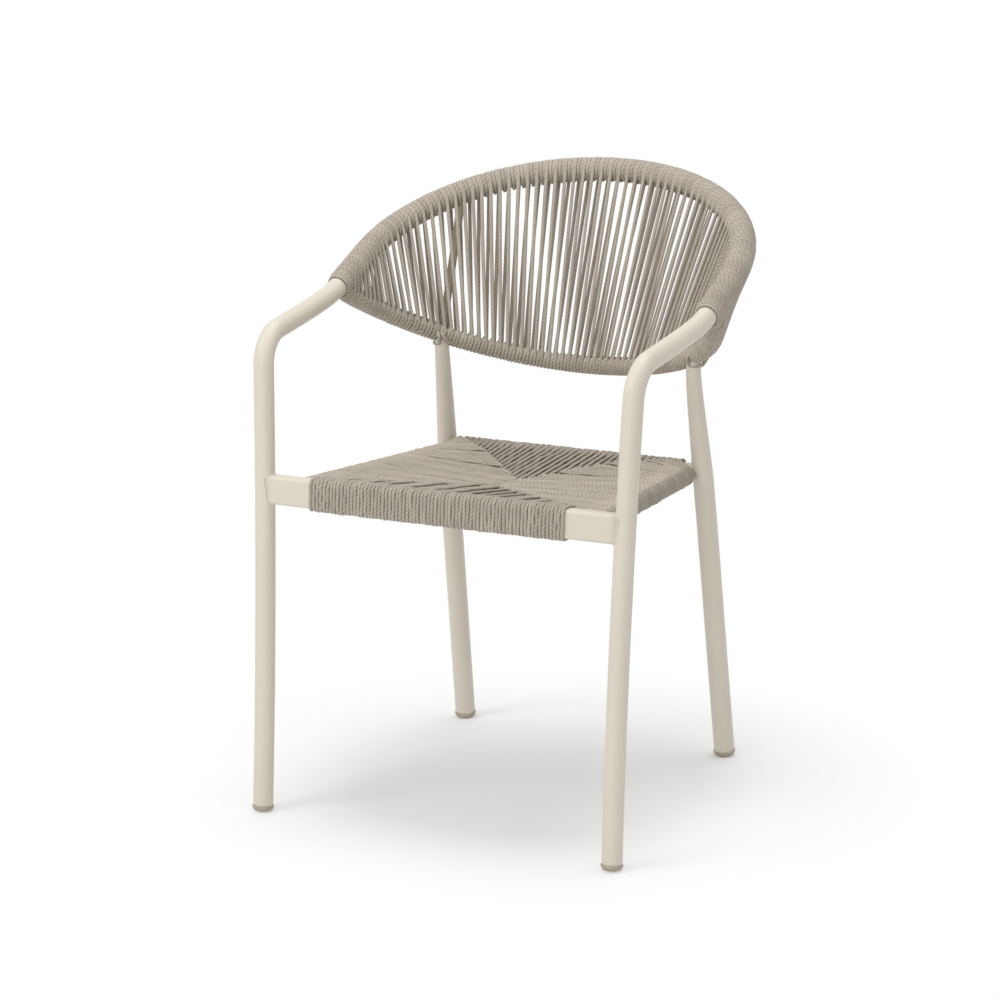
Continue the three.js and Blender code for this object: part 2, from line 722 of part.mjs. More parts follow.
function rearLeg() {
  const body = pipe(rearStops, rearRadii(rearStops, 0), rearRadii(rearStops, -WALL), TUBE_SIDES);
  return cut(body, lowSolid);
}

function stayRod(radius) {
  const low = onLow(lengthAtX(onLow, lowCurve.total, STAY_LOW_X));
  const top = onHoop(lengthAtX(onHoop, hoopCurve.total, STAY_TOP_X));
  return rod(between(low, top, X_AXIS), radius, SMALL_SIDES);
}

function backStay() {
  return cut(stayRod(STAY_R), hoopSolid, lowSolid);
}

function seatFrontBar() {
  const half = FRONT_FOOT_X;
  const body = cut(barSolid(0, half), barSolid(-WALL, half + WALL));
  return cut(body, legSolid, mirrored(legSolid));
}

const sideFront = at(SIDE_FRONT_X, SIDE_FRONT_Y, SIDE_FRONT_Z);
const sideRear = at(SIDE_REAR_X, SIDE_REAR_Y, SIDE_REAR_Z);
const sideWay = sideRear.clone().sub(sideFront).normalize();

function sideSolid(radius, early) {
  const start = sideFront.clone().addScaledVector(sideWay, -early);
  return rod(between(start, sideRear, X_AXIS), radius, TUBE_SIDES);
}

function seatSideRail() {
  const start = sideFront.clone().addScaledVector(sideWay, -BAR_DEPTH / 2);
  const body = pipe(between(start, sideRear, X_AXIS), SEAT_TUBE_R, SEAT_TUBE_R - WALL, TUBE_SIDES);
  return cut(body, barSolid(WELD_GAP, HOOP_HALF_WIDTH), rearSolid);
}

function rearRailEnds() {
  const half = onRearLeg(railLength).x;
  return between(at(-half, REAR_RAIL_Y, REAR_RAIL_Z), at(half, REAR_RAIL_Y, REAR_RAIL_Z), UP);
}

function seatRearRail() {
  const body = pipe(rearRailEnds(), SEAT_TUBE_R, SEAT_TUBE_R - WALL, TUBE_SIDES);
  return cut(body, rearSolid, mirrored(rearSolid));
}

// Rope of the back
// Everything in front of the tips' rear faces, to trim the two wound sleeves.
function frontOfTips() {
  const reach = 2 * HOOP_HALF_WIDTH;
  const face = at(0, TIP_START_Y + WELD_GAP, 0).y;
  const low = new THREE.Vector3(-reach, face - reach, 0);
  return block(low, new THREE.Vector3(reach, face, 2 * HOOP_CROWN_Z));
}

function hoopWinding() {
  const ends = [hoopCurve.total, HOOP_TIP + SLEEVE_OVERRUN];
  const list = stops(1, ends).map(hoopStation);
  const body = pipe(list, HOOP_SLEEVE_R, LEG_TUBE_R + WELD_GAP, TUBE_SIDES);
  const stay = stayRod(STAY_R + WELD_GAP);
  return cut(body, frontOfTips(), stay, mirrored(stay));
}

function lowerRailWinding() {
  const list = stops(LOW_LENGTH_SHARE, [LOW_TIP + SLEEVE_OVERRUN]).map(lowStation);
  const body = pipe(list, LOW_SLEEVE_R, LOW_TUBE_R + WELD_GAP, SMALL_SIDES);
  const stay = stayRod(STAY_R + WELD_GAP);
  return cut(body, frontOfTips(), stay, mirrored(stay), rearSolid, mirrored(rearSolid));
}

// The rope tip that holds both rails where they come together behind the collar.
function tipWinding() {
  const sections = [];
  for (let i = 0; i <= TIP_STEPS; i += 1) {
    const share = i / TIP_STEPS;
    const y = THREE.MathUtils.lerp(TIP_START_Y, COLLAR_Y + WELD_GAP, share);
    const top = onHoop(lengthAtY(onHoop, HOOP_END, y));
    const low = onLow(lengthAtY(onLow, LOW_END, y));
    const topR = THREE.MathUtils.lerp(HOOP_WIND_R, COLLAR_WIND_R, share);
    const ovals = [
      { x: top.x, z: top.z, across: topR, up: topR / Math.cos(HOOP_TILT) },
      { x: low.x, z: low.z, across: LOW_WIND_R, up: LOW_WIND_R / Math.cos(Math.atan(LOW_SLOPE_SHARE)) },
    ];
    const section = [];
    for (let j = 0; j < TIP_SIDES; j += 1) {
      const turn = (2 * Math.PI * j) / TIP_SIDES;
      const point = furthest(ovals, Math.cos(turn), Math.sin(turn));
      const lean = i === TIP_STEPS ? Math.max(0, point.z - top.z) * HOOP_SLOPE_SHARE : 0;
      section.push(new THREE.Vector3(point.x, top.y - lean, point.z));
    }
    sections.push(section);
  }
  return cut(loft(sections), jointSolid, lowSolid);
}

// The point of several upright ovals that lies furthest in one direction.
function furthest(ovals, alongX, alongZ) {
  let best = null;
  for (const oval of ovals) {
    const scale = Math.hypot(oval.across * alongX, oval.up * alongZ);
    const x = oval.x + (oval.across * oval.across * alongX) / scale;
    const z = oval.z + (oval.up * oval.up * alongZ) / scale;
    const reach = x * alongX + z * alongZ;
    if (best === null || reach > best.reach) {
      best = { x, z, reach };
    }
  }
  return best;
}

// One cord: over the top rail, down the front, under the lower rail and up behind
// to the next loop. Both its ends stand square on the rope of the lower rail.
function cordLine() {
  const line = [];
  const halfTurn = (stop, radius) => {
    for (let i = 0; i <= ARC_STEPS; i += 1) {
      line.push(onRing(stop, radius, Math.PI * (i / ARC_STEPS - 0.5)));
    }
  };
  const lead = (stop, point) => line.push(point.clone().addScaledVector(stop.out, -STRAND_LEAD));
  const tail = (stop) => {
    const foot = stop.place.clone().addScaledVector(stop.out, -(LOW_SLEEVE_R + WELD_GAP));
    return [foot, foot.clone().addScaledVector(stop.out, -3 * CORD_R)];
  };
  loopPlaces.forEach((length, i) => {
    const { top, low } = loopStations(length);
    if (i === 0) {
      line.push(...tail(low));
    }
    lead(top, onRing(top, HOOP_LOOP_R, -Math.PI / 2));
    halfTurn(top, HOOP_LOOP_R);
    lead(top, onRing(top, HOOP_LOOP_R, Math.PI / 2));
    if (i + 1 < BACK_LOOPS) {
      lead(low, onRing(low, LOW_LOOP_R, -Math.PI / 2));
      halfTurn(low, LOW_LOOP_R);
      lead(low, onRing(low, LOW_LOOP_R, Math.PI / 2));
    } else {
      line.push(...tail(low).reverse());
    }
  });
  return line;
}

// The least room that the cord leaves to itself, between its skins.
function leastGap(line) {
  const near = 2 * ARC_STEPS + 4;
  let least = Infinity;
  for (let i = 0; i < line.length; i += 1) {
    for (let j = i + near; j < line.length; j += 1) {
      least = Math.min(least, line[i].distanceTo(line[j]));
    }
  }
  return least - 2 * CORD_R;
}

function backCords() {
  const line = cordLine();
  const sides = 6;
  const list = [];
  let towards = new THREE.Vector3(1, 0, 0);
  line.forEach((place, i) => {
    const next = line[Math.min(i + 1, line.length - 1)];
    const before = line[Math.max(i - 1, 0)];
    const stop = station(place, next.clone().sub(before), towards);
    towards = stop.out;
    list.push(stop);
  });
  console.log(`back cords: least gap to themselves ${leastGap(line).toFixed(2)} mm`);
  return rod(list, CORD_R, sides);
}

// Seat weave
// Four panels meet at seams: two diagonals in front, one along the middle, two behind.
// Each seam place is given by its share of the way from the front corner to the front apex,
// or from the rear corner to the rear apex.
function frontSeam(share) {
  return {
    x: THREE.MathUtils.lerp(WEAVE_FRONT_HALF, 0, share),
    y: THREE.MathUtils.lerp(WEAVE_FRONT_Y, APEX_FRONT_Y, share),
    top: THREE.MathUtils.lerp(BAR_Z + FRONT_SEAM_RISE, APEX_FRONT_TOP, share),
    bottom: THREE.MathUtils.lerp(BAR_Z - FRONT_SEAM_FALL, APEX_FRONT_TOP - WEAVE_MIDDLE_THICK, share),
  };
}

function rearSeam(share) {
  return {
    x: THREE.MathUtils.lerp(WEAVE_REAR_HALF, 0, share),
    y: THREE.MathUtils.lerp(WEAVE_REAR_Y, APEX_REAR_Y, share),
    top: THREE.MathUtils.lerp(BAR_Z - REAR_SEAM_TOP_FALL, APEX_REAR_TOP, share),
    bottom: THREE.MathUtils.lerp(BAR_Z - REAR_SEAM_FALL, APEX_REAR_TOP - WEAVE_MIDDLE_THICK, share),
  };
}

function weaveFront() {
  const sections = [];
  for (let i = -WEAVE_STEPS; i <= WEAVE_STEPS; i += 1) {
    const seam = frontSeam(1 - Math.abs(i) / WEAVE_STEPS);
    const inner = -(seam.y - WELD_GAP);
    const outline = boxSection(WEAVE_BAR_COVER, [inner, seam.top], [inner, seam.bottom]);
    sections.push(outline.map(([u, w]) => at(Math.sign(i) * seam.x, -u, w)));
  }
  return cut(loft(sections), barSolid(WELD_GAP, HOOP_HALF_WIDTH));
}

function weaveRear() {
  const sections = [];
  const section = (x, seam) => {
    const inner = seam.y + WELD_GAP;
    const centre = [REAR_RAIL_Y, REAR_RAIL_Z];
    const outline = roundSection(centre, WEAVE_RAIL_R, [inner, seam.top], [inner, seam.bottom]);
    return outline.map(([u, w]) => at(x, u, w));
  };
  for (let i = -WEAVE_STEPS; i <= WEAVE_STEPS; i += 1) {
    const seam = rearSeam(1 - Math.abs(i) / WEAVE_STEPS);
    sections.push(section(Math.sign(i) * seam.x, seam));
  }
  const corner = rearSeam(0);
  sections.unshift(section(-WEAVE_REAR_COVER_HALF, corner));
  sections.push(section(WEAVE_REAR_COVER_HALF, corner));
  return cut(loft(sections), rod(rearRailEnds(), SEAT_TUBE_R + WELD_GAP, TUBE_SIDES));
}

function weaveSide() {
  const sections = [];
  const section = (seam) => {
    const share = (seam.y - SIDE_FRONT_Y) / (SIDE_REAR_Y - SIDE_FRONT_Y);
    const centre = [
      THREE.MathUtils.lerp(SIDE_FRONT_X, SIDE_REAR_X, share),
      THREE.MathUtils.lerp(SIDE_FRONT_Z, SIDE_REAR_Z, share),
    ];
    const inner = seam.x + WELD_GAP;
    const outline = roundSection(centre, WEAVE_RAIL_R, [inner, seam.top], [inner, seam.bottom]);
    sections.push(outline.map(([u, w]) => at(u, seam.y, w)));
  };
  for (let i = 0; i <= WEAVE_STEPS; i += 1) {
    section(frontSeam(i / WEAVE_STEPS));
  }
  for (let i = WEAVE_STEPS; i >= 0; i -= 1) {
    section(rearSeam(i / WEAVE_STEPS));
  }
  return cut(loft(sections), sideSolid(SEAT_TUBE_R + WELD_GAP, BAR_DEPTH));
}

// The chair
const chair = new THREE.Group();

function add(name, geometry, material) {
  const shown = geometry.toNonIndexed();
  shown.computeVertexNormals();
  const mesh = new THREE.Mesh(shown, material);
  mesh.name = name;
  chair.add(mesh);
}

function addPair(name, geometry, material) {
  add(`${name}_right`, geometry, material);
  add(`${name}_left`, mirrored(geometry), material);
}

addPair('front_leg_arm', frontLegArm(), cream);
addPair('arm_joint_sleeve', armJointSleeve(), alloy);
addPair('rear_leg', rearLeg(), cream);
addPair('back_stay', backStay(), cream);
addPair('seat_side_rail', seatSideRail(), cream);
addPair('foot_glide_front', footGlide(at(FRONT_FOOT_X, FRONT_FOOT_Y, 0), frontAxis, LEG_TUBE_R), glide);
addPair('foot_glide_rear', footGlide(at(...REAR_LEG_POINTS[0]), rearAxis, REAR_FOOT_R), glide);
addPair('tip_winding', tipWinding(), rope);
addPair('seat_weave', weaveSide(), rope);
add('back_hoop', backHoop(), cream);
add('lower_back_rail', lowerBackRail(), cream);
add('seat_front_bar', seatFrontBar(), cream);
add('seat_rear_rail', seatRearRail(), cream);
add('hoop_winding', hoopWinding(), rope);
add('lower_rail_winding', lowerRailWinding(), rope);
add('back_cords', backCords(), rope);
add('seat_weave_front', weaveFront(), rope);
add('seat_weave_rear', weaveRear(), rope);

export default chair;
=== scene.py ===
"""Looks of the outdoor rope armchair: a painted tube frame, a rope back wound round two
rails and a rope seat in four panels. Sizes are in millimetres, and at() or MM turns them to metres."""

import math

import bpy
import numpy as np
from mathutils import Matrix, Vector


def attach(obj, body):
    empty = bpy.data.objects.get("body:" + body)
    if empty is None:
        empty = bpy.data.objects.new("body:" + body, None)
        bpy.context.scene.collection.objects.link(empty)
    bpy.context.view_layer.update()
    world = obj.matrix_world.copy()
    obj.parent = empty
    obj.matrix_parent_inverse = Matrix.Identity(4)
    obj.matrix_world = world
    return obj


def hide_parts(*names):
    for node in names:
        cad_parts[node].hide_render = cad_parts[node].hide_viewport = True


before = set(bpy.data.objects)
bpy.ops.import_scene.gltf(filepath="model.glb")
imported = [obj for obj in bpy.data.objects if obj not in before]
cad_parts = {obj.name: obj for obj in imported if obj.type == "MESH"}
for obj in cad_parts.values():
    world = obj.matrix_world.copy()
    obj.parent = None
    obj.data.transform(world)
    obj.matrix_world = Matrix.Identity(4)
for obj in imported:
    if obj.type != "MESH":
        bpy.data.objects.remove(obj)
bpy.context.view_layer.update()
bpy.context.scene.view_settings.view_transform = "Standard"

MM = 0.001
X_AXIS = (1, 0, 0)
Z_AXIS = (0, 0, 1)
CENTRE_Y = 85.79  # the model's origin lies this far behind the measured one
WOBBLE = np.random.default_rng(7)

# Frame, the same sizes as the CAD
LEG_R = 14
FRONT_FOOT = (268.2, -209.8, 0)
LEG_BOW = 3.3
CORNER = (277.1, -166.5, 664.6)
CORNER_BEND_R = 49.3
ARM_START_DEG = 7.6
ARM_START_PULL = 108.8
ARM_END_PULL = 30
HOOP_HALF_WIDTH = 284
HOOP_DEPTH = 240
HOOP_CROWN_Y = 376
HOOP_CROWN_Z = 846.2
HOOP_SLOPE = 0.445
COLLAR_Y = 52.4
LOW_R = 10
LOW_HALF_WIDTH = 296
LOW_DEPTH = 294.5
LOW_CROWN_Y = 285.8
LOW_CROWN_Z = 572
LOW_SLOPE = 0.556
LOW_ARC_END_X = 283.3
REAR_LEG = [
    (215.6, 305.6, 0),
    (211.4, 274.8, 186),
    (205.8, 236.1, 419.2),
    (199.6, 208.3, 580),
    (200, 205, 612),
]
REAR_RADII = (15, 14.8, 10)  # at the foot, at the seat and at the top
REAR_SEAT_Z = 440
STAY_R = 6
STAY_LOW_X = 200
STAY_TOP_X = 211
BAR_HEIGHT = 40
BAR_DEPTH = 20
BAR_EDGE_R = 5
BAR_Y = -182
BAR_Z = 457.4
SEAT_TUBE_R = 10
SIDE_FRONT = (224.6, -165, 456.7)
SIDE_REAR = (187, 220.1, 440)
REAR_RAIL_Y = 231.7
REAR_RAIL_Z = 444.5
WELD_R = 1.7

# Facets and steps
TUBE_SIDES = 48
SMALL_SIDES = 32
WELD_SIDES = 10
CORD_SIDES = 8
TUBE_STEP = 4  # between the rings of a bent tube
STRAIGHT_STEP = 20  # and of a straight one
RAIL_POINTS = 1600  # of each half of the back's rails
LEG_POINTS = 200
BEND_POINTS = 60
ARM_POINTS = 300
REAR_POINTS = 80  # in each stretch between two places of the rear leg
BAR_EDGE_STEPS = 8
BAR_RINGS = 30
NEAR = 2  # half the length over which a path's direction is measured
SEARCH_POINTS = 4000
ASKEW = (0.3, 0.2, 1)  # a direction that no tube runs in
PLAIN_UV = 20  # a tube's UV grows by one in this length

# Foot glides
GLIDE_LIP = 1
GLIDE_LIP_HEIGHT = 2.5
GLIDE_TAPER_HEIGHT = 3.5
GLIDE_TAPER = 2
GLIDE_DOME = 3
GLIDE_PAD_CUT = 0.5
GLIDE_TUCK = 1  # its rim reaches this far in under the tube's wall
GLIDE_TUCK_HEIGHT = 3
GLIDE_DOME_STEPS = 10

# Rope of the back
CELLS = 27  # whole cells on each side of the middle one
HOOP_PITCH = 14.7  # along the top rail, from one front strand to the next
LOW_PITCH = 10.55  # along the lower rail
HOOP_SHIFT = -0.34  # where the middle cell's front strand leaves the top rail, towards the left
LOW_SHIFT = 6.2  # where it reaches the lower rail
LOW_DRIFT = 0.018  # how the spacing there grows towards the left
HOOP_TURN = 5.4  # advance of one turn on the top rail
LOW_TURN = 5.27
HOOP_WHOLE = 2  # whole turns on the top rail in each cell, besides the half turn over it
LOW_WHOLE = 1
TIP_LOOPS = 11  # dense loops round both rails behind each collar
TIP_WHOLE = 1  # whole turns on either rail in each of them
TIP_WOUND = 0.7  # share of a loop's room that its turns take up
TIP_END_GAP = 11  # from the collar to the last of them
TIES = ((-1, 2.5), (1, 9))  # side of the rear leg that a tie goes round, and where it crosses the rail
TIE_LOW = 0.78  # how far below the rail it goes round the leg, as a share of its reach round the rail
TIE_TOP = 0.8  # how far it sinks into the rope on top of the rail, as a share of its reach
TIE_HOLD = np.radians([40, 65, 90, 115, 140])  # where it lies against the leg
TIE_POINTS = 6  # in each stretch between two of its places
COLLAR_RINGS = 3
# painted shade: the turns at the collar are a little darker, where the rope meets the tube's end
COLLAR_TONE = 0.97
WIND_HALF_HEIGHT = 2.1
STRAND_HALF_WIDTH = 2.7
STRAND_HALF_HEIGHT = 2.4
COLLAR_HALF_HEIGHT = 1.4
COLLAR_HALF_WIDTH = 2.25
COLLAR_EASE = 9  # the turns reach their full height this far from the collar
WIND_STEPS = 7  # rings in each half turn
STRAND_STEPS = 5
STRAND_SLACK = 0.45
STRAND_UNEVEN = 0.04  # of a strand's thickness, as a share
WIND_UNEVEN = 0.12
HALF_WIDTH, HALF_HEIGHT, TONE = 6, 7, 8  # columns of a cord's rows, after its point and outward direction

# Rope of the seat
SEAT_PITCH = 5.3
REAR_PITCH = 4.8
SEAT_HALF_WIDTH = 2.6
SEAT_HALF_HEIGHT = 1.9
SEAT_STEP = 3  # between the rings of one cord
SEAT_DRIFT = 0.3  # how far a cord strays sideways
SEAT_UNEVEN = 0.22  # how far it stands out or sinks in
PLACE_UNEVEN = 0.12  # how far it starts from its even place
RAIL_ARC_STEPS = 16
SEAM_ARC_STEPS = 4
SEAT_RAIL_R = 14.5  # to the outside of the cords round a rail
FRONT_HALF = 193.9
FRONT_COVER = (-193.9, 190)
FRONT_LEAN = 0.045  # sideways run of the front cords for each mm of height
FRONT_SAG_POWER = 0.95  # below 1, the front seam drops fast behind the bar and then levels
FRONT_SEAM_Y = -166
REAR_HALF = 172
REAR_COVER_HALF = 175
REAR_SEAM_Y = 213.1
APEX_FRONT_Y = -23
APEX_REAR_Y = 55
CORNER_FRONT = (479, 434)  # top and underside of the seat at the seam's ends
CORNER_REAR = (451, 431)
CORNER_REAR_SIDE = (465, 431)
SIDE_CREST_SHARE = 0.45  # from the corner, where the side panels' edge starts to fall to the middle
APEX_FRONT = (457.5, 440)
APEX_REAR = (449, 438)
SEAM_R = 3.2
SEAM_UNEVEN = 1.1  # how unevenly the cords end at the seams
DRIFT_WAVES = (3, 12)
FRONT_SINK = (5, 9)  # depth of the cords that sink between their neighbours
FRONT_SINK_SPACING = (4, 8)  # cords from one such group to the next
FRONT_SINK_TOGETHER = 3
FRONT_SINK_RUN = 32  # from the bar to where the full depth is reached
FRONT_SINK_POWER = 0.3  # how fast the depth grows from the bar's ends to its middle
SINK_LIMIT = 0.6  # of the room between top and underside
SIDE_SINK = (0.8, 3.6)
SIDE_SINK_SPACING = (4, 10)
SEAT_SHADE = 0.07  # painted shade: how much darker the seat's cords are painted than those of the back, though they are the same rope
REAR_SHADE = 0.2  # and, as painted shade, those of its rear panel
EDGE_ANGLES = (-90, -60, 66, 82, 140, 158)  # round the side rails, in degrees from straight outwards
EDGE_TONES = (0, -0.1, -0.1, 0.17, 0.13, 0)  # painted highlight on top of these rails and painted shade on their outer side
REAR_SINK = 2.8  # every other cord of the rear panel sinks this far
REAR_SINK_RUN = 22
REAR_TUCK = 0.3  # and lies this much closer to the rail
REAR_RIDGE_HALF_WIDTH = 2.95  # of the cords between them

# Rope itself
ROPE_LAY = 18 * MM  # the strands go round the cord once in this length
ROPE_STRANDS = 3
ROPE_YARNS = 5
ROPE_RELIEF = 0.42
ROPE_GROOVE_POWER = 0.6  # below 1, the strands are full and the grooves between them are narrow
ROPE_STRAND_SHARE = 0.75  # of the relief, and the yarns have the rest
ROPE_FUZZ_SHARE = 0.15
ROPE_FUZZ_SCALE = 2600  # the scales of noises are in waves for each metre
ROPE_FUZZ_TONES = (0.94, 1.06)
ROPE_PATCH_SCALE = 45
ROPE_PATCH_TONES = (0.93, 1.06)
ROPE_ROUGHNESS = 0.88
ROPE_SPECULAR = 0.25
ROPE_SHEEN = 0.15
ROPE_SHEEN_ROUGHNESS = 0.6
TONE_SPREAD = 0.035
SUNK_SHADE = 0.035  # painted shade, for each mm that a cord lies deeper between its neighbours

# Paint, plastic and metal
COMMON = (0.3, 0.7)  # most values of a noise lie between these
PAINT_PATCH_SCALE = 9
PAINT_DARKEST = 0.965  # as a share of its colour
PAINT_GLOSS_SCALE = 60
PAINT_ROUGHNESS = (0.36, 0.5)
PAINT_PEEL_SCALE = 850
PAINT_PEEL = 0.06
GLIDE_SCUFF_SCALE = 420
GLIDE_SCUFF_EDGE = (0.45, 0.62)
GLIDE_DARKEST = 0.93
GLIDE_ROUGHNESS = (0.55, 0.68)
GLIDE_GRAIN_SCALE = 3000
GLIDE_GRAIN = 0.04
ALLOY_PATCH_SCALE = 200
ALLOY_DARKEST = 0.9
ALLOY_GLOSS_SCALE = 900
ALLOY_ROUGHNESS = (0.3, 0.45)
ALLOY_GRAIN_SCALE = 1500
ALLOY_GRAIN = 0.03

# Colours as seen, in sRGB
CREAM = (210, 203, 188)
# painted shade: the stays have the frame's cream, darkened here for the shade they lie in between the back's
# two layers of cords
STAY_CREAM_IN_SHADE = (172, 163, 140)
ROPE = (183, 174, 161)
# painted shade: the rope's colour down in the grooves between its strands and yarns
ROPE_DEEP = (136, 126, 111)
GLIDE = (170, 160, 144)
ALLOY = (184, 186, 189)
WHITE = (255, 255, 255)

# Camera, turned and shifted as in the photograph
AZIMUTH, ELEVATION, ROLL = 0.466682, 0.240389, -0.003113
DISTANCE = 4.11695  # in metres, as CLIP is
AIM_Z = 400
SENSOR_WIDTH = 36
LENS = 106.69
SHIFT = (-0.0008, 0.0209)
CLIP = (0.1, 50)

# Lamps (name, place, width and watts), world and floor, in metres
LAMPS = (
    ("key", (-1.6, -2.4, 2.8), 1.8, 34),
    ("fill", (0.4, -3.2, 1.3), 2.2, 18),
    ("top", (0.1, 0.3, 3.2), 2.0, 33),
)
LAMP_AIM = (0, 0, 0.45)
WORLD_LIGHT = 0.66
FLOOR_PALE = 0.92
FLOOR_ROUGHNESS = 0.9
FLOOR_REACH = 12
FADE_FROM, FADE_TO = 0.25, 0.58  # the floor turns plain white over these distances from the chair


def at(x, y, z):
    """A measured place as a point of the model, in metres."""
    return np.array([x, y - CENTRE_Y, z], float) * MM


def unit(v):
    return v / np.linalg.norm(v, axis=-1, keepdims=True)


def mirror(points):
    return points * np.array([-1, 1, 1])


# Meshes
def make(name, shells, material, slot, *nodes):
    """One object from shells, which are (points, faces, uv, tone), riding on the frame."""
    points, loops, sizes, uvs, tones = [], [], [], [], []
    count = 0
    for shell_points, faces, uv, shell_tone in shells:
        points.append(shell_points)
        loops.append(np.concatenate(faces) + count)
        sizes.extend(len(f) for f in faces)
        uvs.append(uv)
        tones.append(np.broadcast_to(shell_tone, len(shell_points)))
        count += len(shell_points)
    points = np.concatenate(points)
    loops = np.concatenate(loops)
    sizes = np.array(sizes)
    mesh = bpy.data.meshes.new(name)
    mesh.vertices.add(len(points))
    mesh.vertices.foreach_set("co", points.astype(np.float32).ravel())
    mesh.loops.add(len(loops))
    mesh.loops.foreach_set("vertex_index", loops.astype(np.int32))
    mesh.polygons.add(len(sizes))
    mesh.polygons.foreach_set("loop_start", (np.cumsum(sizes) - sizes).astype(np.int32))
    mesh.polygons.foreach_set("loop_total", sizes.astype(np.int32))
    mesh.update(calc_edges=True)
    mesh.validate()
    layer = mesh.uv_layers.new(name="UVMap")
    layer.data.foreach_set("uv", np.concatenate(uvs).astype(np.float32).ravel())
    tone = mesh.attributes.new("tone", "FLOAT", "POINT")
    tone.data.foreach_set("value", np.concatenate(tones).astype(np.float32))
    mesh.polygons.foreach_set("use_smooth", np.full(len(sizes), True))
    mesh.materials.append(material)
    piece = bpy.data.objects.new(name, mesh)
    bpy.context.scene.collection.objects.link(piece)
    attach(piece, "root")
    if nodes:
        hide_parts(*nodes)


def sweep(path, radial, across, along_radial, sides=CORD_SIDES, closed=False, tone=1.0):
    """A round or flattened rod along a path. radial says which way its second width faces."""
    count = len(path)
    if closed:
        way = unit(np.roll(path, -1, 0) - np.roll(path, 1, 0))
    else:
        way = unit(np.gradient(path, axis=0))
    radial = unit(radial - np.sum(radial * way, 1, keepdims=True) * way)
    side = np.cross(way, radial)
    turn = 2 * np.pi * np.arange(sides) / sides
    across = np.broadcast_to(np.asarray(across, float), count)[:, None, None]
    along_radial = np.broadcast_to(np.asarray(along_radial, float), count)[:, None, None]
    points = (
        path[:, None, :]
        + across * np.cos(turn)[None, :, None] * side[:, None, :]
        + along_radial * np.sin(turn)[None, :, None] * radial[:, None, :]
    ).reshape(-1, 3)
    rows = np.arange(count if closed else count - 1)[:, None]
    cols = np.arange(sides)[None, :]
    a = rows * sides + cols
    b = rows * sides + (cols + 1) % sides
    step = ((rows + 1) % count) * sides - rows * sides
    faces = list(np.stack([a, b, b + step, a + step], -1).reshape(-1, 4))
    reach = np.concatenate([[0], np.cumsum(np.linalg.norm(np.diff(path, axis=0), axis=1))])
    steps = np.concatenate([reach, [reach[-1] + np.linalg.norm(path[0] - path[-1])]])
    u0 = np.broadcast_to(steps[rows], a.shape)
    u1 = np.broadcast_to(steps[rows + 1], a.shape)
    v0 = np.broadcast_to(cols / sides, a.shape)
    v1 = v0 + 1 / sides
    uv = np.stack([u0, v0, u0, v1, u1, v1, u1, v0], -1).reshape(-1, 2)
    if not closed:
        faces.append(np.arange(sides)[::-1])
        faces.append(np.arange(sides) + (count - 1) * sides)
        caps = np.stack([np.cos(turn), np.sin(turn)], -1) * MM
        uv = np.concatenate([uv, caps[::-1], caps])
    return points, faces, uv + [WOBBLE.uniform(), 0], np.repeat(np.broadcast_to(tone, count), sides)


class Path:
    """A smooth line of many points, read by its length. Zero is where it is said to be."""

    def __init__(self, points, zero=0.0):
        self.points = points
        self.reach = np.concatenate([[0], np.cumsum(np.linalg.norm(np.diff(points, axis=0), axis=1))])
        self.start = -self.reach[-1] * zero
        self.end = self.reach[-1] + self.start

    def at(self, length):
        length = np.asarray(length, float) - self.start
        return np.stack([np.interp(length, self.reach, self.points[:, k]) for k in range(3)], -1)

    def way(self, length):
        low = np.maximum(np.asarray(length, float) - NEAR * MM, self.start)
        high = np.minimum(np.asarray(length, float) + NEAR * MM, self.end)
        return unit(self.at(high) - self.at(low))

    def where(self, axis, value, whole=False):
        """The length at which a coordinate passes a value, on the second half or the whole."""
        start = self.start if whole else (self.start + self.end) / 2
        lengths = np.linspace(start, self.end, SEARCH_POINTS)
        return lengths[np.argmin(np.abs(self.at(lengths)[:, axis] - value))]


def two_halves(right):
    """The whole rail from its right half, which starts at the crown."""
    return Path(np.concatenate([mirror(right)[:0:-1], right]), zero=0.5)


def tube(path, start, end, towards, radius, sides=TUBE_SIDES, step=TUBE_STEP):
    """A tube along part of a path. Its radius is a length or a function of its points."""
    lengths = np.linspace(start, end, max(2, int((end - start) / (step * MM))))
    points = path.at(lengths)
    radii = radius(points) if callable(radius) else radius
    radial = np.broadcast_to(np.asarray(towards, float), points.shape)
    return sweep(points, radial, radii, radii, sides)


def straight_tube(start, end, radius, towards=X_AXIS):
    line = Path(np.stack([start, end]))
    return tube(line, 0, line.end, towards, radius, SMALL_SIDES, STRAIGHT_STEP)


def both(shell):
    """A shell and its mirror image."""
    points, faces, uv, tone = shell
    ends = np.cumsum([len(f) for f in faces])
    order = np.concatenate([np.arange(end, end - len(f), -1) - 1 for f, end in zip(faces, ends)])
    return shell, (mirror(points), [f[::-1] for f in faces], uv[order], tone)


# Paths of the frame
COLLAR_Z = HOOP_CROWN_Z - HOOP_SLOPE * (HOOP_CROWN_Y - COLLAR_Y)
COLLAR = at(HOOP_HALF_WIDTH, COLLAR_Y, COLLAR_Z)


def hoop_path():
    turn = np.linspace(0, np.pi / 2, RAIL_POINTS)
    y = HOOP_CROWN_Y - HOOP_DEPTH * (1 - np.cos(turn))
    z = HOOP_CROWN_Z - HOOP_SLOPE * (HOOP_CROWN_Y - y)
    curve = np.stack([HOOP_HALF_WIDTH * np.sin(turn), y - CENTRE_Y, z], -1) * MM
    return two_halves(np.concatenate([curve, [COLLAR]]))


def low_path():
    turn = np.linspace(0, math.asin(LOW_ARC_END_X / LOW_HALF_WIDTH), RAIL_POINTS)
    drop = LOW_DEPTH * (1 - np.cos(turn))
    x = LOW_HALF_WIDTH * np.sin(turn)
    curve = np.stack([x, LOW_CROWN_Y - drop - CENTRE_Y, LOW_CROWN_Z + LOW_SLOPE * drop], -1) * MM
    return two_halves(np.concatenate([curve, [COLLAR]]))


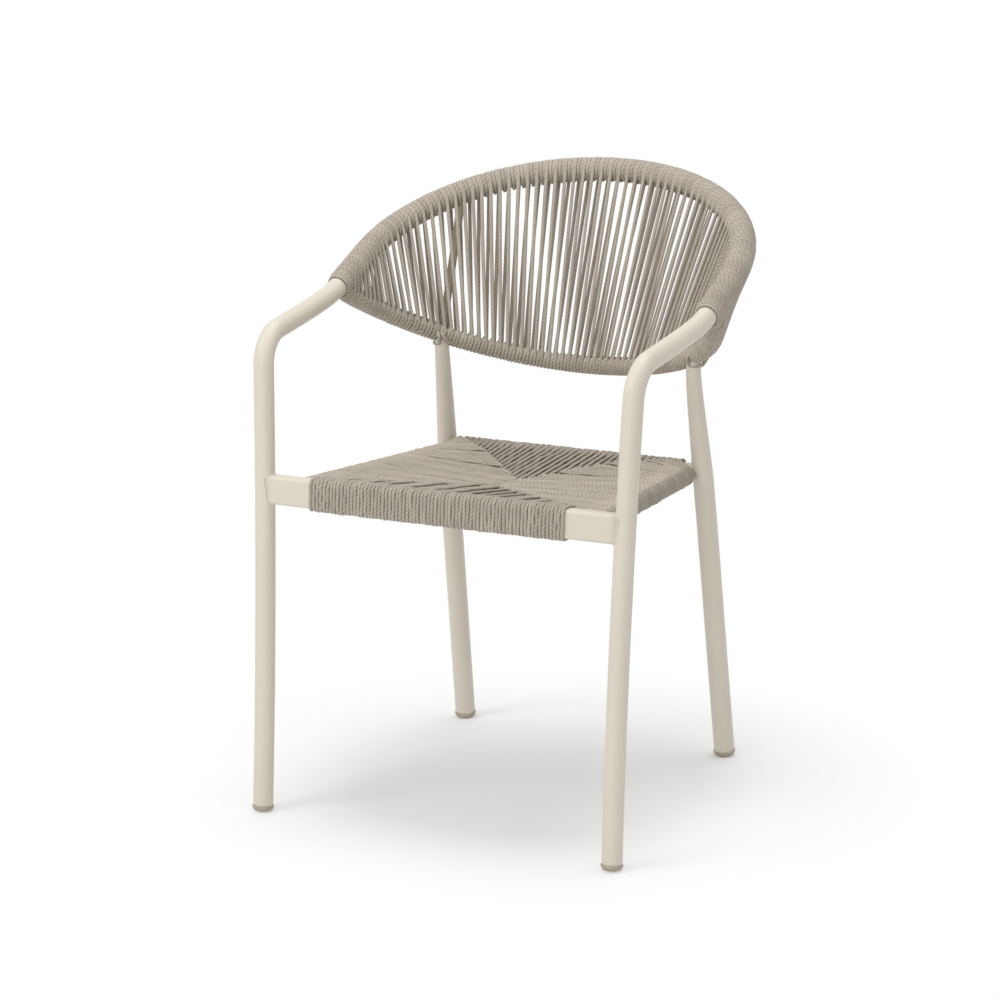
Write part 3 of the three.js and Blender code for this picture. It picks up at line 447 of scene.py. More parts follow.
def bezier(controls, count):
    share = np.linspace(0, 1, count)[:, None]
    points = [np.broadcast_to(c, (count, 3)) for c in controls]
    while len(points) > 1:
        points = [(1 - share) * a + share * b for a, b in zip(points, points[1:])]
    return points[0]


def arm_path():
    foot, corner = at(*FRONT_FOOT), at(*CORNER)
    rise = math.radians(ARM_START_DEG)
    run = COLLAR - corner
    arm_way = unit(np.array([run[0] / run[1] * math.cos(rise), math.cos(rise), math.sin(rise)]))
    bow = np.array([2 * LEG_BOW * MM, 0, 0])
    leg_way = unit(corner - ((foot + corner) / 2 - bow))
    turn = math.acos(leg_way @ arm_way)
    reach = CORNER_BEND_R * MM * math.tan(turn / 2)
    bend_start = corner - reach * leg_way
    bend_end = corner + reach * arm_way
    leg = bezier([foot, (foot + bend_start) / 2 - bow, bend_start], LEG_POINTS)
    centre = corner + unit(arm_way - leg_way) * CORNER_BEND_R * MM / math.cos(turn / 2)
    spoke = unit(bend_start - centre)
    angles = np.linspace(0, turn, BEND_POINTS)[:, None]
    bend = centre + CORNER_BEND_R * MM * (np.cos(angles) * spoke + np.sin(angles) * leg_way)
    hoop_way = unit(np.array([0, 1, HOOP_SLOPE]))
    pull = [bend_end + ARM_START_PULL * MM * arm_way, COLLAR - ARM_END_PULL * MM * hoop_way]
    arm = bezier([bend_end, *pull, COLLAR], ARM_POINTS)
    return Path(np.concatenate([leg[:-1], bend[:-1], arm]))


def through(points, count):
    """A smooth line through a few points."""
    ends = [2 * points[0] - points[1], *points, 2 * points[-1] - points[-2]]
    share = np.linspace(0, 1, count)[:, None]
    runs = []
    for a, b, c, d in zip(ends, ends[1:], ends[2:], ends[3:]):
        gap = [np.linalg.norm(q - p) ** 0.5 for p, q in ((a, b), (b, c), (c, d))]
        leave = gap[1] * ((b - a) / gap[0] - (c - a) / (gap[0] + gap[1]) + (c - b) / gap[1])
        arrive = gap[1] * ((c - b) / gap[1] - (d - b) / (gap[1] + gap[2]) + (d - c) / gap[2])
        square = 3 * (c - b) - 2 * leave - arrive
        cube = 2 * (b - c) + leave + arrive
        runs.append(b + share * leave + share**2 * square + share**3 * cube)
    return Path(np.concatenate([run[:-1] for run in runs] + [runs[-1][-1:]]))


HOOP = hoop_path()
LOW = low_path()
ARM = arm_path()
REAR = through([at(*p) for p in REAR_LEG], REAR_POINTS)


def rear_radius(points):
    z = points[:, 2] / MM
    foot, seat, top = REAR_RADII
    radius = np.interp(z, [0, REAR_SEAT_Z, REAR_LEG[-1][2]], [foot, seat, top])
    return radius * MM


# Materials
def linear(colour):
    """An sRGB colour in the linear values that shaders use."""
    parts = [c / 255 for c in colour]
    return (*[p / 12.92 if p <= 0.04045 else ((p + 0.055) / 1.055) ** 2.4 for p in parts], 1)


class Nodes:
    """A new material, or a node tree, and short ways to add and join its nodes."""

    def __init__(self, name="", tree=None):
        if tree is None:
            self.material = bpy.data.materials.new(name)
            self.material.use_nodes = True
            tree = self.material.node_tree
            self.shader = tree.nodes["Principled BSDF"]
        self.tree = tree

    def add(self, kind, **settings):
        node = self.tree.nodes.new(kind)
        for key, value in settings.items():
            setattr(node, key, value)
        return node

    def feed(self, node, socket, value):
        if isinstance(value, bpy.types.NodeSocket):
            self.tree.links.new(value, node.inputs[socket])
        else:
            node.inputs[socket].default_value = value

    def math(self, operation, *values):
        node = self.add("ShaderNodeMath", operation=operation)
        for i, value in enumerate(values):
            self.feed(node, i, value)
        return node.outputs[0]

    def noise(self, scale, detail=2):
        node = self.add("ShaderNodeTexNoise")
        self.feed(node, "Vector", self.add("ShaderNodeTexCoord").outputs["Object"])
        self.feed(node, "Scale", scale)
        self.feed(node, "Detail", detail)
        return node.outputs["Fac"]

    def spread(self, value, low, high, lowest=0.0, highest=1.0):
        node = self.add("ShaderNodeMapRange")
        self.feed(node, "Value", value)
        for socket, number in zip(("From Min", "From Max", "To Min", "To Max"), (lowest, highest, low, high)):
            self.feed(node, socket, number)
        return node.outputs["Result"]

    def blend(self, factor, a, b, kind="MIX"):
        """Two colours mixed. The node has more sockets of the same names, so these go by number."""
        node = self.add("ShaderNodeMix", data_type="RGBA", blend_type=kind)
        self.feed(node, "Factor", factor)
        self.feed(node, 6, a)
        self.feed(node, 7, b)
        return node.outputs[2]

    def mottle(self, factor, colour, darkest):
        """A base colour that falls in places to a share of itself."""
        darker = linear([c * darkest for c in colour])
        self.feed(self.shader, "Base Color", self.blend(factor, linear(colour), darker))

    def bump(self, height, distance):
        node = self.add("ShaderNodeBump")
        self.feed(node, "Height", height)
        self.feed(node, "Distance", distance * MM)
        self.feed(self.shader, "Normal", node.outputs["Normal"])


def paint_material(name, colour):
    """Satin powder coat: a faint orange peel and slightly uneven gloss."""
    made = Nodes(name)
    made.mottle(made.noise(PAINT_PATCH_SCALE, detail=3), colour, PAINT_DARKEST)
    gloss = made.noise(PAINT_GLOSS_SCALE, detail=3)
    made.feed(made.shader, "Roughness", made.spread(gloss, *PAINT_ROUGHNESS, *COMMON))
    made.bump(made.noise(PAINT_PEEL_SCALE), PAINT_PEEL)
    return made.material


def rope_material():
    """Matt twisted cord: strands laid round each other, yarns in them, fibre fuzz and uneven tone, with
    painted shade in its grooves.
    """
    made = Nodes("rope")
    uv = made.add("ShaderNodeSeparateXYZ")
    made.feed(uv, 0, made.add("ShaderNodeTexCoord").outputs["UV"])
    along, around = uv.outputs["X"], uv.outputs["Y"]

    def ridges(length, count):
        """Rounded ridges with sharp grooves, laid round the cord once in a length."""
        turns = made.math("ADD", made.math("DIVIDE", along, length), around)
        share = made.math("FRACT", made.math("MULTIPLY", turns, count))
        return made.math("SINE", made.math("MULTIPLY", share, math.pi))

    def mixed(a, b, share):
        """Two values added, b by a share and a by the rest of it."""
        return made.math("ADD", made.math("MULTIPLY", a, 1 - share), made.math("MULTIPLY", b, share))

    lays = made.math("POWER", ridges(ROPE_LAY, ROPE_STRANDS), ROPE_GROOVE_POWER)
    yarns = ridges(-ROPE_LAY / 2, ROPE_YARNS)
    fuzz = made.noise(ROPE_FUZZ_SCALE)
    # the tone holds random differences between cords, and the painted shade and highlight of the seat's cords
    tone = made.add("ShaderNodeAttribute", attribute_name="tone").outputs["Fac"]
    patches = made.spread(made.noise(ROPE_PATCH_SCALE, detail=3), *ROPE_PATCH_TONES, *COMMON)
    fuzz_tone = made.spread(fuzz, *ROPE_FUZZ_TONES, *COMMON)
    shade = made.math("MULTIPLY", made.math("MULTIPLY", tone, patches), fuzz_tone)
    relief = mixed(yarns, lays, ROPE_STRAND_SHARE)
    # painted shade in the grooves: where the relief is low the colour falls to ROPE_DEEP
    colour = made.blend(relief, linear(ROPE_DEEP), linear(ROPE))
    grey = made.add("ShaderNodeCombineColor")
    for k in range(3):
        made.feed(grey, k, shade)
    made.feed(made.shader, "Base Color", made.blend(1.0, colour, grey.outputs[0], "MULTIPLY"))
    made.feed(made.shader, "Roughness", ROPE_ROUGHNESS)
    made.feed(made.shader, "Specular IOR Level", ROPE_SPECULAR)
    made.feed(made.shader, "Sheen Weight", ROPE_SHEEN)
    made.feed(made.shader, "Sheen Roughness", ROPE_SHEEN_ROUGHNESS)
    made.bump(mixed(relief, fuzz, ROPE_FUZZ_SHARE), ROPE_RELIEF)
    return made.material


def glide_material():
    """Matt moulded plastic with a fine spark-eroded grain and scuffs."""
    made = Nodes("glide_plastic")
    scuffs = made.spread(made.noise(GLIDE_SCUFF_SCALE, detail=4), 0, 1, *GLIDE_SCUFF_EDGE)
    made.mottle(scuffs, GLIDE, GLIDE_DARKEST)
    made.feed(made.shader, "Roughness", made.spread(scuffs, *GLIDE_ROUGHNESS))
    made.bump(made.noise(GLIDE_GRAIN_SCALE), GLIDE_GRAIN)
    return made.material


def alloy_material():
    """Bare drawn alloy, dull in patches and finely grained."""
    made = Nodes("spigot_alloy")
    made.feed(made.shader, "Metallic", 1)
    made.mottle(made.noise(ALLOY_PATCH_SCALE, detail=3), ALLOY, ALLOY_DARKEST)
    made.feed(made.shader, "Roughness", made.spread(made.noise(ALLOY_GLOSS_SCALE), *ALLOY_ROUGHNESS))
    made.bump(made.noise(ALLOY_GRAIN_SCALE), ALLOY_GRAIN)
    return made.material


paint = paint_material("frame_paint", CREAM)
# the stays' paint is darker as painted shade
stay_paint_in_shade = paint_material("stay_paint_in_shade", STAY_CREAM_IN_SHADE)
rope = rope_material()
glide = glide_material()
alloy = alloy_material()


# Camera and surroundings
def add_camera():
    back = np.array([
        math.sin(AZIMUTH) * math.cos(ELEVATION),
        -math.cos(AZIMUTH) * math.cos(ELEVATION),
        math.sin(ELEVATION),
    ])
    right = unit(np.cross(-back, [0, 0, 1]))
    up = np.cross(back, right)
    turned = math.cos(ROLL) * right + math.sin(ROLL) * up
    upright = -math.sin(ROLL) * right + math.cos(ROLL) * up
    data = bpy.data.cameras.new("camera")
    data.sensor_width = SENSOR_WIDTH
    data.lens = LENS
    data.shift_x, data.shift_y = SHIFT
    data.clip_start, data.clip_end = CLIP
    camera = bpy.data.objects.new("camera", data)
    bpy.context.scene.collection.objects.link(camera)
    place = at(0, 0, AIM_Z) + DISTANCE * back
    axes = np.stack([turned, upright, back], 1)
    camera.matrix_world = Matrix.Translation(Vector(place)) @ Matrix(axes.tolist()).to_4x4()
    bpy.context.scene.camera = camera


def add_lamp(name, place, size, power):
    data = bpy.data.lights.new(name, "AREA")
    data.shape = "DISK"
    data.size = size
    data.energy = power
    lamp = bpy.data.objects.new(name, data)
    bpy.context.scene.collection.objects.link(lamp)
    lamp.location = place
    lamp.rotation_mode = "QUATERNION"
    lamp.rotation_quaternion = (Vector(LAMP_AIM) - Vector(place)).to_track_quat("-Z", "Y")


def seen_directly(made):
    """1 where the camera sees the shader, itself or through a shiny or clear surface."""
    rays = made.add("ShaderNodeLightPath")
    seen = made.math("MAXIMUM", rays.outputs["Is Camera Ray"], rays.outputs["Is Glossy Ray"])
    return made.math("MAXIMUM", seen, rays.outputs["Is Transmission Ray"])


def add_world():
    world = bpy.data.worlds.new("studio")
    bpy.context.scene.world = world
    world.use_nodes = True
    made = Nodes(tree=world.node_tree)
    sky = made.tree.nodes["Background"]
    made.feed(sky, "Color", linear(WHITE))
    made.feed(sky, "Strength", made.spread(seen_directly(made), WORLD_LIGHT, 1))


def add_floor():
    """Pale ground that keeps the chair's shadow and fades to plain white away from it."""
    made = Nodes("floor")
    made.feed(made.shader, "Base Color", (FLOOR_PALE, FLOOR_PALE, FLOOR_PALE, 1))
    made.feed(made.shader, "Roughness", FLOOR_ROUGHNESS)
    made.feed(made.shader, "Specular IOR Level", 0)
    glow = made.add("ShaderNodeEmission")
    made.feed(glow, "Color", linear(WHITE))
    length = made.add("ShaderNodeVectorMath", operation="LENGTH")
    made.feed(length, 0, made.add("ShaderNodeTexCoord").outputs["Object"])
    away = made.spread(length.outputs["Value"], 0, 1, FADE_FROM, FADE_TO)
    both_looks = made.add("ShaderNodeMixShader")
    made.feed(both_looks, 0, made.math("MULTIPLY", seen_directly(made), away))
    made.tree.links.new(made.shader.outputs[0], both_looks.inputs[1])
    made.tree.links.new(glow.outputs[0], both_looks.inputs[2])
    made.tree.links.new(both_looks.outputs[0], made.tree.nodes["Material Output"].inputs[0])
    mesh = bpy.data.meshes.new("floor")
    corners = [(FLOOR_REACH * x, FLOOR_REACH * y, 0) for x, y in ((-1, -1), (1, -1), (1, 1), (-1, 1))]
    mesh.from_pydata(corners, [], [(0, 1, 2, 3)])
    mesh.materials.append(made.material)
    floor = bpy.data.objects.new("floor", mesh)
    bpy.context.scene.collection.objects.link(floor)


add_camera()
add_world()
add_floor()
for lamp in LAMPS:
    add_lamp(*lamp)


# Foot glides and the tubes of the frame
def glide_ball(tube_r):
    """The radius of the dome's edge and of the ball that it is cut from."""
    edge = tube_r + GLIDE_LIP - GLIDE_TAPER
    return edge, (edge**2 + GLIDE_DOME**2) / (2 * GLIDE_DOME)


def tube_start(tube_r, up):
    """How far up the leg's axis its tube starts."""
    ball = glide_ball(tube_r)[1]
    height = GLIDE_DOME + GLIDE_TAPER_HEIGHT + GLIDE_LIP_HEIGHT
    return ((ball - GLIDE_PAD_CUT) / up - ball + height) * MM


def foot_glide(path, tube_r):
    """A turned cap with a domed foot, worn flat where it stands."""
    axis = path.way(path.start)
    foot = path.at(path.start)
    edge, ball = glide_ball(tube_r)
    dome = np.linspace(0, math.asin(edge / ball), GLIDE_DOME_STEPS)[1:]
    lip = tube_r + GLIDE_LIP
    low = GLIDE_DOME + GLIDE_TAPER_HEIGHT
    top = low + GLIDE_LIP_HEIGHT
    soft = GLIDE_LIP / 2
    rim = tube_r - GLIDE_TUCK
    profile = [(ball * math.sin(t), ball - ball * math.cos(t)) for t in dome]
    profile += [(lip - soft / 2, low - soft), (lip, low), (lip, top - soft), (lip - soft, top)]
    profile += [(rim, top), (rim, top + GLIDE_TUCK_HEIGHT)]
    apex = foot + axis * ((ball - GLIDE_PAD_CUT) / axis[2] - ball) * MM
    across = unit(np.cross(axis, [0, 1, 0]))
    other = np.cross(axis, across)
    sides = TUBE_SIDES
    turn = 2 * np.pi * np.arange(sides) / sides
    spokes = np.cos(turn)[:, None] * across + np.sin(turn)[:, None] * other
    rings = [apex + (r * spokes + h * axis) * MM for r, h in profile]
    points = np.concatenate(rings + [[apex]])
    points[:, 2] = np.maximum(points[:, 2], 0)
    hub = len(points) - 1
    faces = []
    for i in range(len(rings) - 1):
        for j in range(sides):
            a, b = i * sides + j, i * sides + (j + 1) % sides
            faces.append((a, b, b + sides, a + sides))
    faces += [(hub, (j + 1) % sides, j) for j in range(sides)]
    faces.append(tuple((len(rings) - 1) * sides + j for j in range(sides)))
    faces = [np.array(f) for f in faces]
    uv = (points[:, :2] + points[:, 2:]) / MM / PLAIN_UV
    return points, faces, uv[np.concatenate(faces)], 1.0


def bar_ring():
    """The outline of the front bar in (y, z), rounded at its four edges."""
    turn = np.linspace(0, np.pi / 2, BAR_EDGE_STEPS + 1)
    points = []
    for k, (y, z) in enumerate([(1, 1), (-1, 1), (-1, -1), (1, -1)]):
        middle = np.array([
            BAR_Y + y * (BAR_DEPTH / 2 - BAR_EDGE_R),
            BAR_Z + z * (BAR_HEIGHT / 2 - BAR_EDGE_R),
        ])
        angle = turn + k * np.pi / 2
        points.append(middle + BAR_EDGE_R * np.stack([np.cos(angle), np.sin(angle)], -1))
    return np.concatenate(points)


def front_bar():
    outline = bar_ring()
    stations = np.linspace(-FRONT_FOOT[0], FRONT_FOOT[0], BAR_RINGS)
    count = len(outline)
    points = np.concatenate([[at(x, y, z) for y, z in outline] for x in stations])
    faces = []
    for i in range(len(stations) - 1):
        for j in range(count):
            a, b = i * count + j, i * count + (j + 1) % count
            faces.append(np.array([a, b, b + count, a + count]))
    faces.append(np.arange(count)[::-1])
    faces.append(np.arange(count) + (len(stations) - 1) * count)
    uv = points[:, :2] / MM / PLAIN_UV
    return points, faces, uv[np.concatenate(faces)], 1.0


def weld(section, way, carrier, carrier_way, carrier_r):
    """A bead where a member's outline, carried along its way, meets a round carrier.

    After a run t each point lies on the carrier where a * t**2 + 2 * b * t + c is zero."""
    loose = section - carrier
    a = 1 - (way @ carrier_way) ** 2
    flat = loose - (loose @ carrier_way)[:, None] * carrier_way
    b = flat @ (way - (way @ carrier_way) * carrier_way)
    c = np.sum(flat**2, 1) - carrier_r**2
    root = np.sqrt(np.maximum(b**2 - a * c, 0))
    line = section + ((-b - root) / a)[:, None] * way
    outward = line - line.mean(0)
    outward -= (outward @ way)[:, None] * way
    return bead(line, outward)


def bead(line, outward):
    return sweep(line, outward, WELD_R * MM, WELD_R * MM, WELD_SIDES, closed=True)


def circle(centre, way, radius):
    across = unit(np.cross(way, ASKEW))
    other = np.cross(way, across)
    turn = 2 * np.pi * np.arange(TUBE_SIDES) / TUBE_SIDES
    return centre + radius * (np.cos(turn)[:, None] * across + np.sin(turn)[:, None] * other)


arm_tube = tube(ARM, tube_start(LEG_R, ARM.way(0)[2]), ARM.end, X_AXIS, LEG_R * MM)
rear_tube = tube(REAR, tube_start(REAR_RADII[0], REAR.way(0)[2]), REAR.end, X_AXIS, rear_radius)
hoop_tube = tube(HOOP, HOOP.start, HOOP.end, (0, -HOOP_SLOPE, 1), LEG_R * MM)
low_start, low_end = LOW.start + LEG_R * MM, LOW.end - LEG_R * MM
low_tube = tube(LOW, low_start, low_end, (0, LOW_SLOPE, 1), LOW_R * MM, SMALL_SIDES)
stay_low = LOW.at(LOW.where(0, STAY_LOW_X * MM))
stay_top = HOOP.at(HOOP.where(0, STAY_TOP_X * MM))
stay_tube = straight_tube(stay_low, stay_top, STAY_R * MM)
side_way = unit(at(*SIDE_REAR) - at(*SIDE_FRONT))
side_start = at(*SIDE_FRONT) - BAR_DEPTH / 2 * MM * side_way
side_end = at(*SIDE_REAR) + LEG_R * MM * side_way
side_tube = straight_tube(side_start, side_end, SEAT_TUBE_R * MM)
rear_end = at(REAR_LEG[2][0], REAR_RAIL_Y, REAR_RAIL_Z)
rear_rail = straight_tube(mirror(rear_end), rear_end, SEAT_TUBE_R * MM, Z_AXIS)

for name, shell, coat in (
    ("front_leg_arm", arm_tube, paint),
    ("rear_leg", rear_tube, paint),
    ("seat_side_rail", side_tube, paint),
    # the stays take the paint with painted shade
    ("back_stay", stay_tube, stay_paint_in_shade),
):
    for side, part in zip(("right", "left"), both(shell)):
        make(f"{name}_tube_{side}", [part], coat, "frame_paint", f"{name}_{side}")
make("back_hoop_tube", [hoop_tube], paint, "frame_paint", "back_hoop")
make("lower_rail_tube", [low_tube], paint, "frame_paint", "lower_back_rail")
make("seat_bar_box", [front_bar()], paint, "frame_paint", "seat_front_bar")
make("rear_rail_tube", [rear_rail], paint, "frame_paint", "seat_rear_rail")
for name, path, tube_r in (("front", ARM, LEG_R), ("rear", REAR, REAR_RADII[0])):
    for side, part in zip(("right", "left"), both(foot_glide(path, tube_r))):
        make(f"glide_{name}_{side}", [part], glide, "glide_plastic", f"foot_glide_{name}_{side}")


def welds():
    """Beads where the seat's members meet the legs and each other."""
    across = np.array(X_AXIS, float)
    leg = ARM.where(2, BAR_Z * MM, whole=True)
    bar = np.array([at(0, y, z) for y, z in bar_ring()])
    shells = [weld(bar, across, ARM.at(leg), ARM.way(leg), LEG_R * MM)]
    leg = REAR.where(2, REAR_RAIL_Z * MM, whole=True)
    rail = circle(at(0, REAR_RAIL_Y, REAR_RAIL_Z), across, SEAT_TUBE_R * MM)
    shells.append(weld(rail, across, REAR.at(leg), REAR.way(leg), rear_radius(REAR.at([leg]))[0]))
    side = circle(at(*SIDE_FRONT), side_way, SEAT_TUBE_R * MM)
    shells.append(weld(side, side_way, at(0, REAR_RAIL_Y, REAR_RAIL_Z), across, SEAT_TUBE_R * MM))
    back_face = at(0, BAR_Y + BAR_DEPTH / 2, 0)[1]
    side -= ((side[:, 1] - back_face) / side_way[1])[:, None] * side_way
    shells.append(bead(side, side - side.mean(0)))
    return [part for shell in shells for part in both(shell)]


make("weld_beads", welds(), paint, "frame_paint")


# Rope of the back, one cord from tip to tip
def visits():
    """Where the cord comes to each rail: (top in, top out, whole turns, low in, low out, whole turns).

    The cord runs from the right tip to the left one, so the places are worked out towards the left."""
    over_top = (HOOP_WHOLE + 0.5) * HOOP_TURN
    under_low = (LOW_WHOLE + 0.5) * LOW_TURN
    cells = []
    for i in range(-CELLS, CELLS + 1):
        leave = i * HOOP_PITCH + HOOP_SHIFT
        arrive = i * LOW_PITCH + LOW_SHIFT + i * i * LOW_DRIFT
        cells.append((leave - over_top, leave, HOOP_WHOLE, arrive, arrive + under_low, LOW_WHOLE))
    first, last = cells[0], cells[-1]
    hoop_end, low_end = HOOP.end / MM - TIP_END_GAP, LOW.end / MM - LEG_R
    hoop_room = (hoop_end - last[1]) / TIP_LOOPS
    low_room = (low_end - last[4]) / TIP_LOOPS
    left = []
    for k in range(1, TIP_LOOPS + 1):
        top = last[1] + k * hoop_room
        low = last[4] + k * low_room
        top_in, low_in = top - TIP_WOUND * hoop_room, low - TIP_WOUND * low_room
        left.append((top_in, top, TIP_WHOLE, low_in, low, TIP_WHOLE))
    hoop_room = (first[0] + hoop_end) / TIP_LOOPS
    low_room = (first[3] + low_end) / TIP_LOOPS
    right = []
    for k in range(TIP_LOOPS, 0, -1):
        top = first[0] - k * hoop_room
        low = first[3] - k * low_room
        top_out, low_out = top + TIP_WOUND * hoop_room, low + TIP_WOUND * low_room
        right.append((top, top_out, TIP_WHOLE, low, low_out, TIP_WHOLE))
    plan = right + cells + left
    return [(-a, -b, hoop_turns, -c, -d, low_turns) for a, b, hoop_turns, c, d, low_turns in plan]


def winding(path, other, start, end, other_at, turns, tube_r):
    """Points round one rail, from its rear side over its far side to its front or the reverse.

    Each row holds a point, its outward direction, the cord's half width and height, and its tone."""
    count = WIND_STEPS * (2 * turns + 1) + 1
    share = np.linspace(0, 1, count)
    lengths = (start + (end - start) * share) * MM
    centre = path.at(lengths)
    way = path.way(lengths)
    away = centre - other.at(np.full(count, other_at * MM))
    out = unit(away - np.sum(away * way, 1, keepdims=True) * way)
    side = np.cross(way, out)
    angle = (-np.pi / 2 + share * np.pi * (2 * turns + 1))[:, None]
    spoke = np.cos(angle) * out + np.sin(angle) * side
    room = (path.end - np.abs(lengths)) / MM
    thick = np.interp(room, [0, COLLAR_EASE], [COLLAR_HALF_HEIGHT, WIND_HALF_HEIGHT])
    lift = WOBBLE.normal(0, WIND_UNEVEN)
    points = centre + (tube_r + thick[:, None] + lift) * MM * spoke
    half_width = np.full(count, abs(end - start) / (2 * turns + 1))
    tone = np.full(count, 1 + WOBBLE.normal(0, TONE_SPREAD))
    return np.column_stack([points, spoke, half_width, thick, tone])


def strand(before, after):
    """A stretched run between two windings, with a little slack and a width of its own."""
    share = np.linspace(0, 1, STRAND_STEPS + 2)[1:-1, None]
    run = (1 - share) * before + share * after
    run[:, :3] += np.sin(np.pi * share) * WOBBLE.normal(0, STRAND_SLACK, 3) * MM
    size = 1 + WOBBLE.normal(0, STRAND_UNEVEN)
    run[:, HALF_WIDTH] = STRAND_HALF_WIDTH * size
    run[:, HALF_HEIGHT] = STRAND_HALF_HEIGHT * size
    run[:, TONE] = 1 + WOBBLE.normal(0, TONE_SPREAD)
    return run


def back_rope():
    plan = visits()
    runs = []
    for k, (top_in, top_out, top_turns, low_in, low_out, low_turns) in enumerate(plan):
        came_from = plan[k - 1][4] if k else low_in
        runs.append(winding(HOOP, LOW, top_in, top_out, came_from, top_turns, LEG_R))
        runs.append(winding(LOW, HOOP, low_in, low_out, top_out, low_turns, LOW_R))
    joined = runs[:1]
    for before, after in zip(runs, runs[1:]):
        joined += [strand(before[-1], after[0]), after]
    line = np.concatenate(joined)
    sizes = line[:, [HALF_WIDTH, HALF_HEIGHT]].T * MM
    return sweep(line[:, :3], line[:, 3:6], *sizes, tone=line[:, TONE])


def collar_turns():
    """The first turns of rope at each collar, closing its end."""
    wide = SEAT_HALF_WIDTH * MM
    shells = []
    for k in range(COLLAR_RINGS):
        length = HOOP.end - (COLLAR_HALF_HEIGHT + k * 2 * COLLAR_HALF_WIDTH) * MM
        centre, way = HOOP.at(length), HOOP.way(length)
        thick = np.interp(k, [0, COLLAR_RINGS - 1], [COLLAR_HALF_HEIGHT, WIND_HALF_HEIGHT]) * MM
        ring = circle(centre, way, LEG_R * MM + thick)
        shells += both(sweep(ring, ring - centre, wide, thick, closed=True, tone=COLLAR_TONE))
    return shells


def leg_ties():
    """Cords that come down over the lower rail at each rear leg's top and go round the leg."""
    up = REAR.way(REAR.end)
    joint = LOW.where(0, REAR.at(REAR.end)[0])
    rail = LOW.at(joint)
    front = unit(np.cross(up, LOW.way(joint)))
    front = -front if front[1] > 0 else front
    side = unit(np.cross(front, up))
    side = -side if side[0] < 0 else side
    round_rail = (LOW_R + 2 * WIND_HALF_HEIGHT + STRAND_HALF_HEIGHT) * MM
    round_leg = rear_radius(REAR.at([REAR.end]))[0] + STRAND_HALF_HEIGHT * MM
    shells = []
    for turn, place in TIES:
        low = rail - TIE_LOW * round_rail * up
        shift = place * MM * side
        top = rail + TIE_TOP * round_rail * up + shift
        hold = [math.cos(angle) * front + turn * math.sin(angle) * side for angle in TIE_HOLD]
        line = [
            top,
            rail + round_rail * front + shift,
            *(low + round_leg * spoke for spoke in hold),
            rail - round_rail * front + shift,
            top,
        ]
        points = through(line, TIE_POINTS).points[:-1]
        down = np.clip((rail - points) @ up, 0, round_rail)[:, None]
        shells += both(sweep(
            points, points - rail + down * up, STRAND_HALF_WIDTH * MM, STRAND_HALF_HEIGHT * MM, closed=True,
            tone=1 + WOBBLE.normal(0, TONE_SPREAD),
        ))
    return shells


make(
    "back_rope", [back_rope(), *collar_turns(), *leg_ties()], rope, "rope",
    "back_cords", "hoop_winding", "lower_rail_winding", "tip_winding_left", "tip_winding_right",
)


# Rope of the seat, one closed loop for each cord
def touch(point, centre, radius, top):
    """The angle at which a line from an inner point touches a circle on its top or underside."""
    run, rise = point - centre
    lean = math.acos(min(1, radius / math.hypot(run, rise)))
    turn = math.atan2(rise if top else -rise, run)
    facing = (turn + 2 * math.pi if turn < 0 else turn) - lean
    return facing if top else -facing


def arc(centre, radius, start, end, steps):
    turn = np.linspace(start, end, steps + 1)[:, None]
    return centre + radius * np.concatenate([np.cos(turn), np.sin(turn)], 1)


def even(line):
    """A closed line with its points at even steps."""
    whole = np.concatenate([line, line[:1]])
    reach = np.concatenate([[0], np.cumsum(np.linalg.norm(np.diff(whole, axis=0), axis=1))])
    count = int(reach[-1] / SEAT_STEP)
    places = np.arange(count) * reach[-1] / count
    return np.stack([np.interp(places, reach, whole[:, k]) for k in range(2)], -1)


def loop_outline(corners, radius, seam_u, top, bottom):
    """A cord's line in (outwards, up): from the seam round the rail's corners and back to the seam."""
    high = np.array([seam_u, top])
    low = np.array([seam_u, bottom])
    quarter = math.pi / 2
    turns = [touch(high, corners[0], radius, True)]
    turns += [quarter * (1 - k) for k in range(len(corners) - 1)]
    turns += [touch(low, corners[-1], radius, False)]
    rail = [arc(corner, radius, turns[k], turns[k + 1], RAIL_ARC_STEPS) for k, corner in enumerate(corners)]
    inner = min(SEAM_R, (top - bottom) / 2)
    low_centre = np.array([seam_u + inner, bottom + inner])
    high_centre = np.array([seam_u + inner, top - inner])
    first = arc(low_centre, inner, -quarter, -2 * quarter, SEAM_ARC_STEPS)
    second = arc(high_centre, inner, 2 * quarter, quarter, SEAM_ARC_STEPS)
    return even(np.concatenate([*rail, first, second]))


def drift(count, most):
    """A slow wander round a closed line, in waves of several lengths."""
    turn = np.linspace(0, 2 * np.pi, count, endpoint=False)[:, None]
    waves = np.arange(DRIFT_WAVES[0], DRIFT_WAVES[1])
    sizes = WOBBLE.normal(0, most / math.sqrt(len(waves)), len(waves))
    return np.sum(sizes * np.cos(turn * waves + WOBBLE.uniform(0, 2 * np.pi, len(waves))), 1) * math.sqrt(2)


def edge_tone(line, centre):
    """The painted highlight or shade that a side cord's tone gains or loses, by where it lies round its rail.
    """
    outwards, up = (line - centre).T
    return np.interp(np.degrees(np.arctan2(up, outwards)), EDGE_ANGLES, EDGE_TONES)


